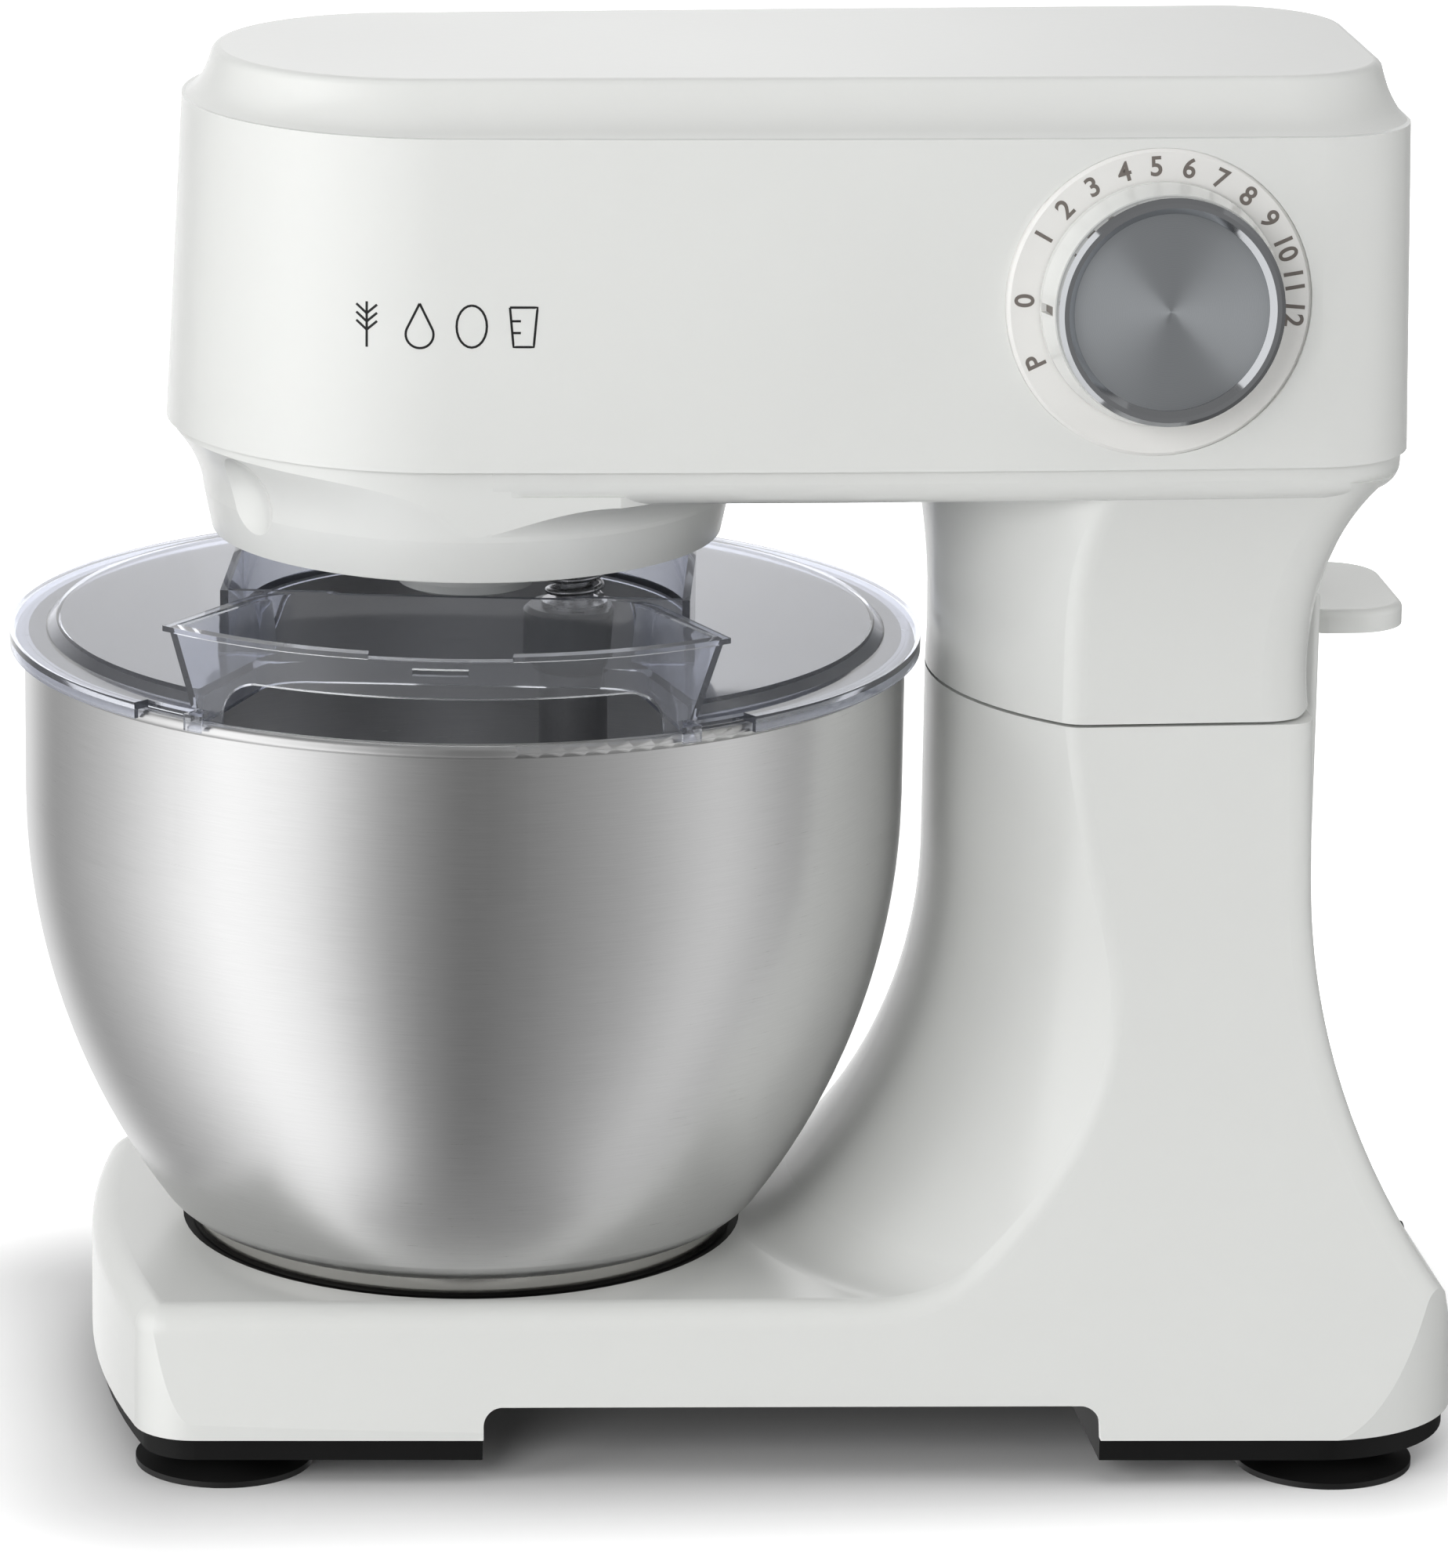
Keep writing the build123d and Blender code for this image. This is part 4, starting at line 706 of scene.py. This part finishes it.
print("pointer faces:", len(make_knob_pointer().data.polygons))


# %% [markdown]
# ## Table
#
# The table is white paper, and the picture behind it is pure white, as in a catalogue. So the paper glows
# for the camera away from the mixer, and the glow fades out towards the base, where only real light
# counts. That keeps the soft shadow under the base.

# %% Table
def make_paper(glow, half_length, half_width, fade):
    material, tree, shader = new_material("white_paper", (0.82, 0.82, 0.82), Roughness=0.9,
                                          Specular_IOR_Level=0.0)
    place = add_node(tree, "ShaderNodeTexCoord")
    away = add_node(tree, "ShaderNodeVectorMath", operation="ABSOLUTE")
    tree.links.new(place.outputs["Object"], away.inputs[0])
    past = add_node(tree, "ShaderNodeVectorMath", operation="SUBTRACT")
    past.inputs[1].default_value = (half_length, half_width, 0.0)
    tree.links.new(away.outputs["Vector"], past.inputs[0])
    kept = add_node(tree, "ShaderNodeVectorMath", operation="MAXIMUM")
    tree.links.new(past.outputs["Vector"], kept.inputs[0])
    reach = add_node(tree, "ShaderNodeVectorMath", operation="LENGTH")
    tree.links.new(kept.outputs["Vector"], reach.inputs[0])
    rise = add_node(tree, "ShaderNodeMapRange", interpolation_type="SMOOTHSTEP")
    rise.inputs["From Max"].default_value = fade
    rise.inputs["To Max"].default_value = glow
    tree.links.new(reach.outputs["Value"], rise.inputs["Value"])
    path = add_node(tree, "ShaderNodeLightPath")
    seen = add_node(tree, "ShaderNodeMath", operation="MAXIMUM")
    tree.links.new(path.outputs["Is Camera Ray"], seen.inputs[0])
    tree.links.new(path.outputs["Is Transmission Ray"], seen.inputs[1])
    level = add_node(tree, "ShaderNodeMath", operation="MULTIPLY")
    tree.links.new(rise.outputs["Result"], level.inputs[0])
    tree.links.new(seen.outputs[0], level.inputs[1])
    shader.inputs["Emission Color"].default_value = (1, 1, 1, 1)
    tree.links.new(level.outputs[0], shader.inputs["Emission Strength"])
    return material


def make_floor(half_side):
    corners = [(half_side * x, half_side * y, 0.0) for x, y in ((-1, -1), (1, -1), (1, 1), (-1, 1))]
    data = bpy.data.meshes.new("floor")
    data.from_pydata(corners, [], [(0, 1, 2, 3)])
    data.materials.append(make_paper(glow=0.88, half_length=0.15, half_width=0.08, fade=0.11))
    plane = bpy.data.objects.new("floor", data)
    bpy.context.collection.objects.link(plane)
    plane.visible_glossy = False


floor_half_side = 7.0
make_floor(floor_half_side)
print("table size in m:", 2 * floor_half_side)


# %% [markdown]
# ## What the steel sees
#
# A shiny bowl shows the studio, not itself. Its vertical bands are tall white panels to the left and
# right, with the dark of the room around the camera between them. A round wall holds those panels: its
# glow is a ramp of grey over the compass direction, with the camera at zero. The camera looks down, so
# the bowl's reflections go down too, and the wall reaches far below the table for them. Only mirror-like
# rays and rays through the guard see the wall, and mirror-like rays don't see the table. The soft light
# for all other rays is one even grey world, which the camera itself sees as white.

# %% Studio wall
studio_panels = [(-180, 1.30), (-152, 1.05), (-131, 0.38), (-101, 0.76), (-63, 1.62), (-41, 1.32),
                 (-20, 0.50), (0, 0.18), (22, 0.34), (45, 0.54), (71, 0.94), (108, 0.26), (139, 0.06),
                 (165, 0.60), (180, 1.30)]
wall_radius = 2.6
wall_low, wall_high = -6.0, 3.2


def make_panel_light():
    material, tree, shader = new_material("studio_panels", (0.0, 0.0, 0.0), Roughness=1.0,
                                          Specular_IOR_Level=0.0)
    link = tree.links.new
    place = add_node(tree, "ShaderNodeTexCoord")
    split = add_node(tree, "ShaderNodeSeparateXYZ")
    link(place.outputs["Object"], split.inputs[0])
    front = add_node(tree, "ShaderNodeMath", operation="MULTIPLY")
    front.inputs[1].default_value = -1.0
    link(split.outputs["Y"], front.inputs[0])
    compass = add_node(tree, "ShaderNodeMath", operation="ARCTAN2")
    link(split.outputs["X"], compass.inputs[0])
    link(front.outputs[0], compass.inputs[1])
    share = add_node(tree, "ShaderNodeMapRange")
    share.inputs["From Min"].default_value = view_turn - math.pi
    share.inputs["From Max"].default_value = view_turn + math.pi
    link(compass.outputs[0], share.inputs["Value"])
    ramp = add_node(tree, "ShaderNodeValToRGB")
    stops = ramp.color_ramp.elements
    ends = {-180: 0, 180: -1}
    brightest = max(level for _, level in studio_panels)
    for degrees, level in studio_panels:
        stop = stops[ends[degrees]] if degrees in ends else stops.new((degrees + 180) / 360)
        stop.color = (*[level / brightest] * 3, 1)
    link(share.outputs["Result"], ramp.inputs["Fac"])
    link(ramp.outputs["Color"], shader.inputs["Emission Color"])
    shader.inputs["Emission Strength"].default_value = brightest
    return material


def make_studio_wall(steps):
    turns = [2 * math.pi * k / steps for k in range(steps)]
    ring = [(wall_radius * math.cos(t), wall_radius * math.sin(t)) for t in turns]
    points = [(x, y, z) for z in (wall_low, wall_high) for x, y in ring]
    faces = [(k, (k + 1) % steps, steps + (k + 1) % steps, steps + k) for k in range(steps)]
    data = bpy.data.meshes.new("studio_wall")
    data.from_pydata(points, [], faces)
    data.materials.append(make_panel_light())
    wall = bpy.data.objects.new("studio_wall", data)
    bpy.context.collection.objects.link(wall)
    wall.visible_camera = False
    wall.visible_diffuse = False
    wall.visible_shadow = False


def light_world(level):
    world = bpy.data.worlds.new("studio")
    world.use_nodes = True
    tree = world.node_tree
    soft = tree.nodes["Background"]
    soft.inputs["Color"].default_value = (1, 1, 1, 1)
    path = add_node(tree, "ShaderNodeLightPath")
    tree.links.new(ranged(tree, path.outputs["Is Camera Ray"], level, 1.0), soft.inputs["Strength"])
    bpy.context.scene.world = world


make_studio_wall(steps=96)
light_world(level=0.33)
print("panel stops:", len(studio_panels))


# %% [markdown]
# ## Lamps
#
# Five soft lamps light the matte and white parts. The two on the left are the key light: they make the
# curved front end of the head the brightest place and reach under the arm. The one at the back is for a
# walk round the mixer. The lamps are hidden from mirror-like rays and behind the clear guard, because the
# panels already stand for them there.

# %% Lamps
lamp_aim = Vector((0.0, 0.0, 0.2))


def soft_lamp(name, place, width, height, watts):
    lamp = bpy.data.lights.new(name, "AREA")
    lamp.shape = "RECTANGLE"
    lamp.size = width
    lamp.size_y = height
    lamp.energy = watts
    holder = bpy.data.objects.new(name, lamp)
    turn = (lamp_aim - Vector(place)).to_track_quat("-Z", "Y")
    holder.matrix_world = Matrix.Translation(place) @ turn.to_matrix().to_4x4()
    holder.visible_glossy = False
    holder.visible_transmission = False
    bpy.context.collection.objects.link(holder)


soft_lamp("overhead", (0.0, -0.4, 1.7), width=1.6, height=1.2, watts=4.5)
soft_lamp("left_bank", (-1.6, -0.7, 0.7), width=0.7, height=1.3, watts=9.2)
soft_lamp("left_front", (-0.9, -1.7, 0.8), width=0.8, height=1.0, watts=15.0)
soft_lamp("right_side", (1.7, -0.3, 0.8), width=0.7, height=1.2, watts=7.5)
soft_lamp("back_bank", (0.7, 1.9, 0.5), width=1.2, height=0.8, watts=9.0)


# %% [markdown]
# ## Finish
#
# The scene uses the Standard view, so colours come out as they are written.

# %% Finish
bpy.context.scene.view_settings.view_transform = "Standard"
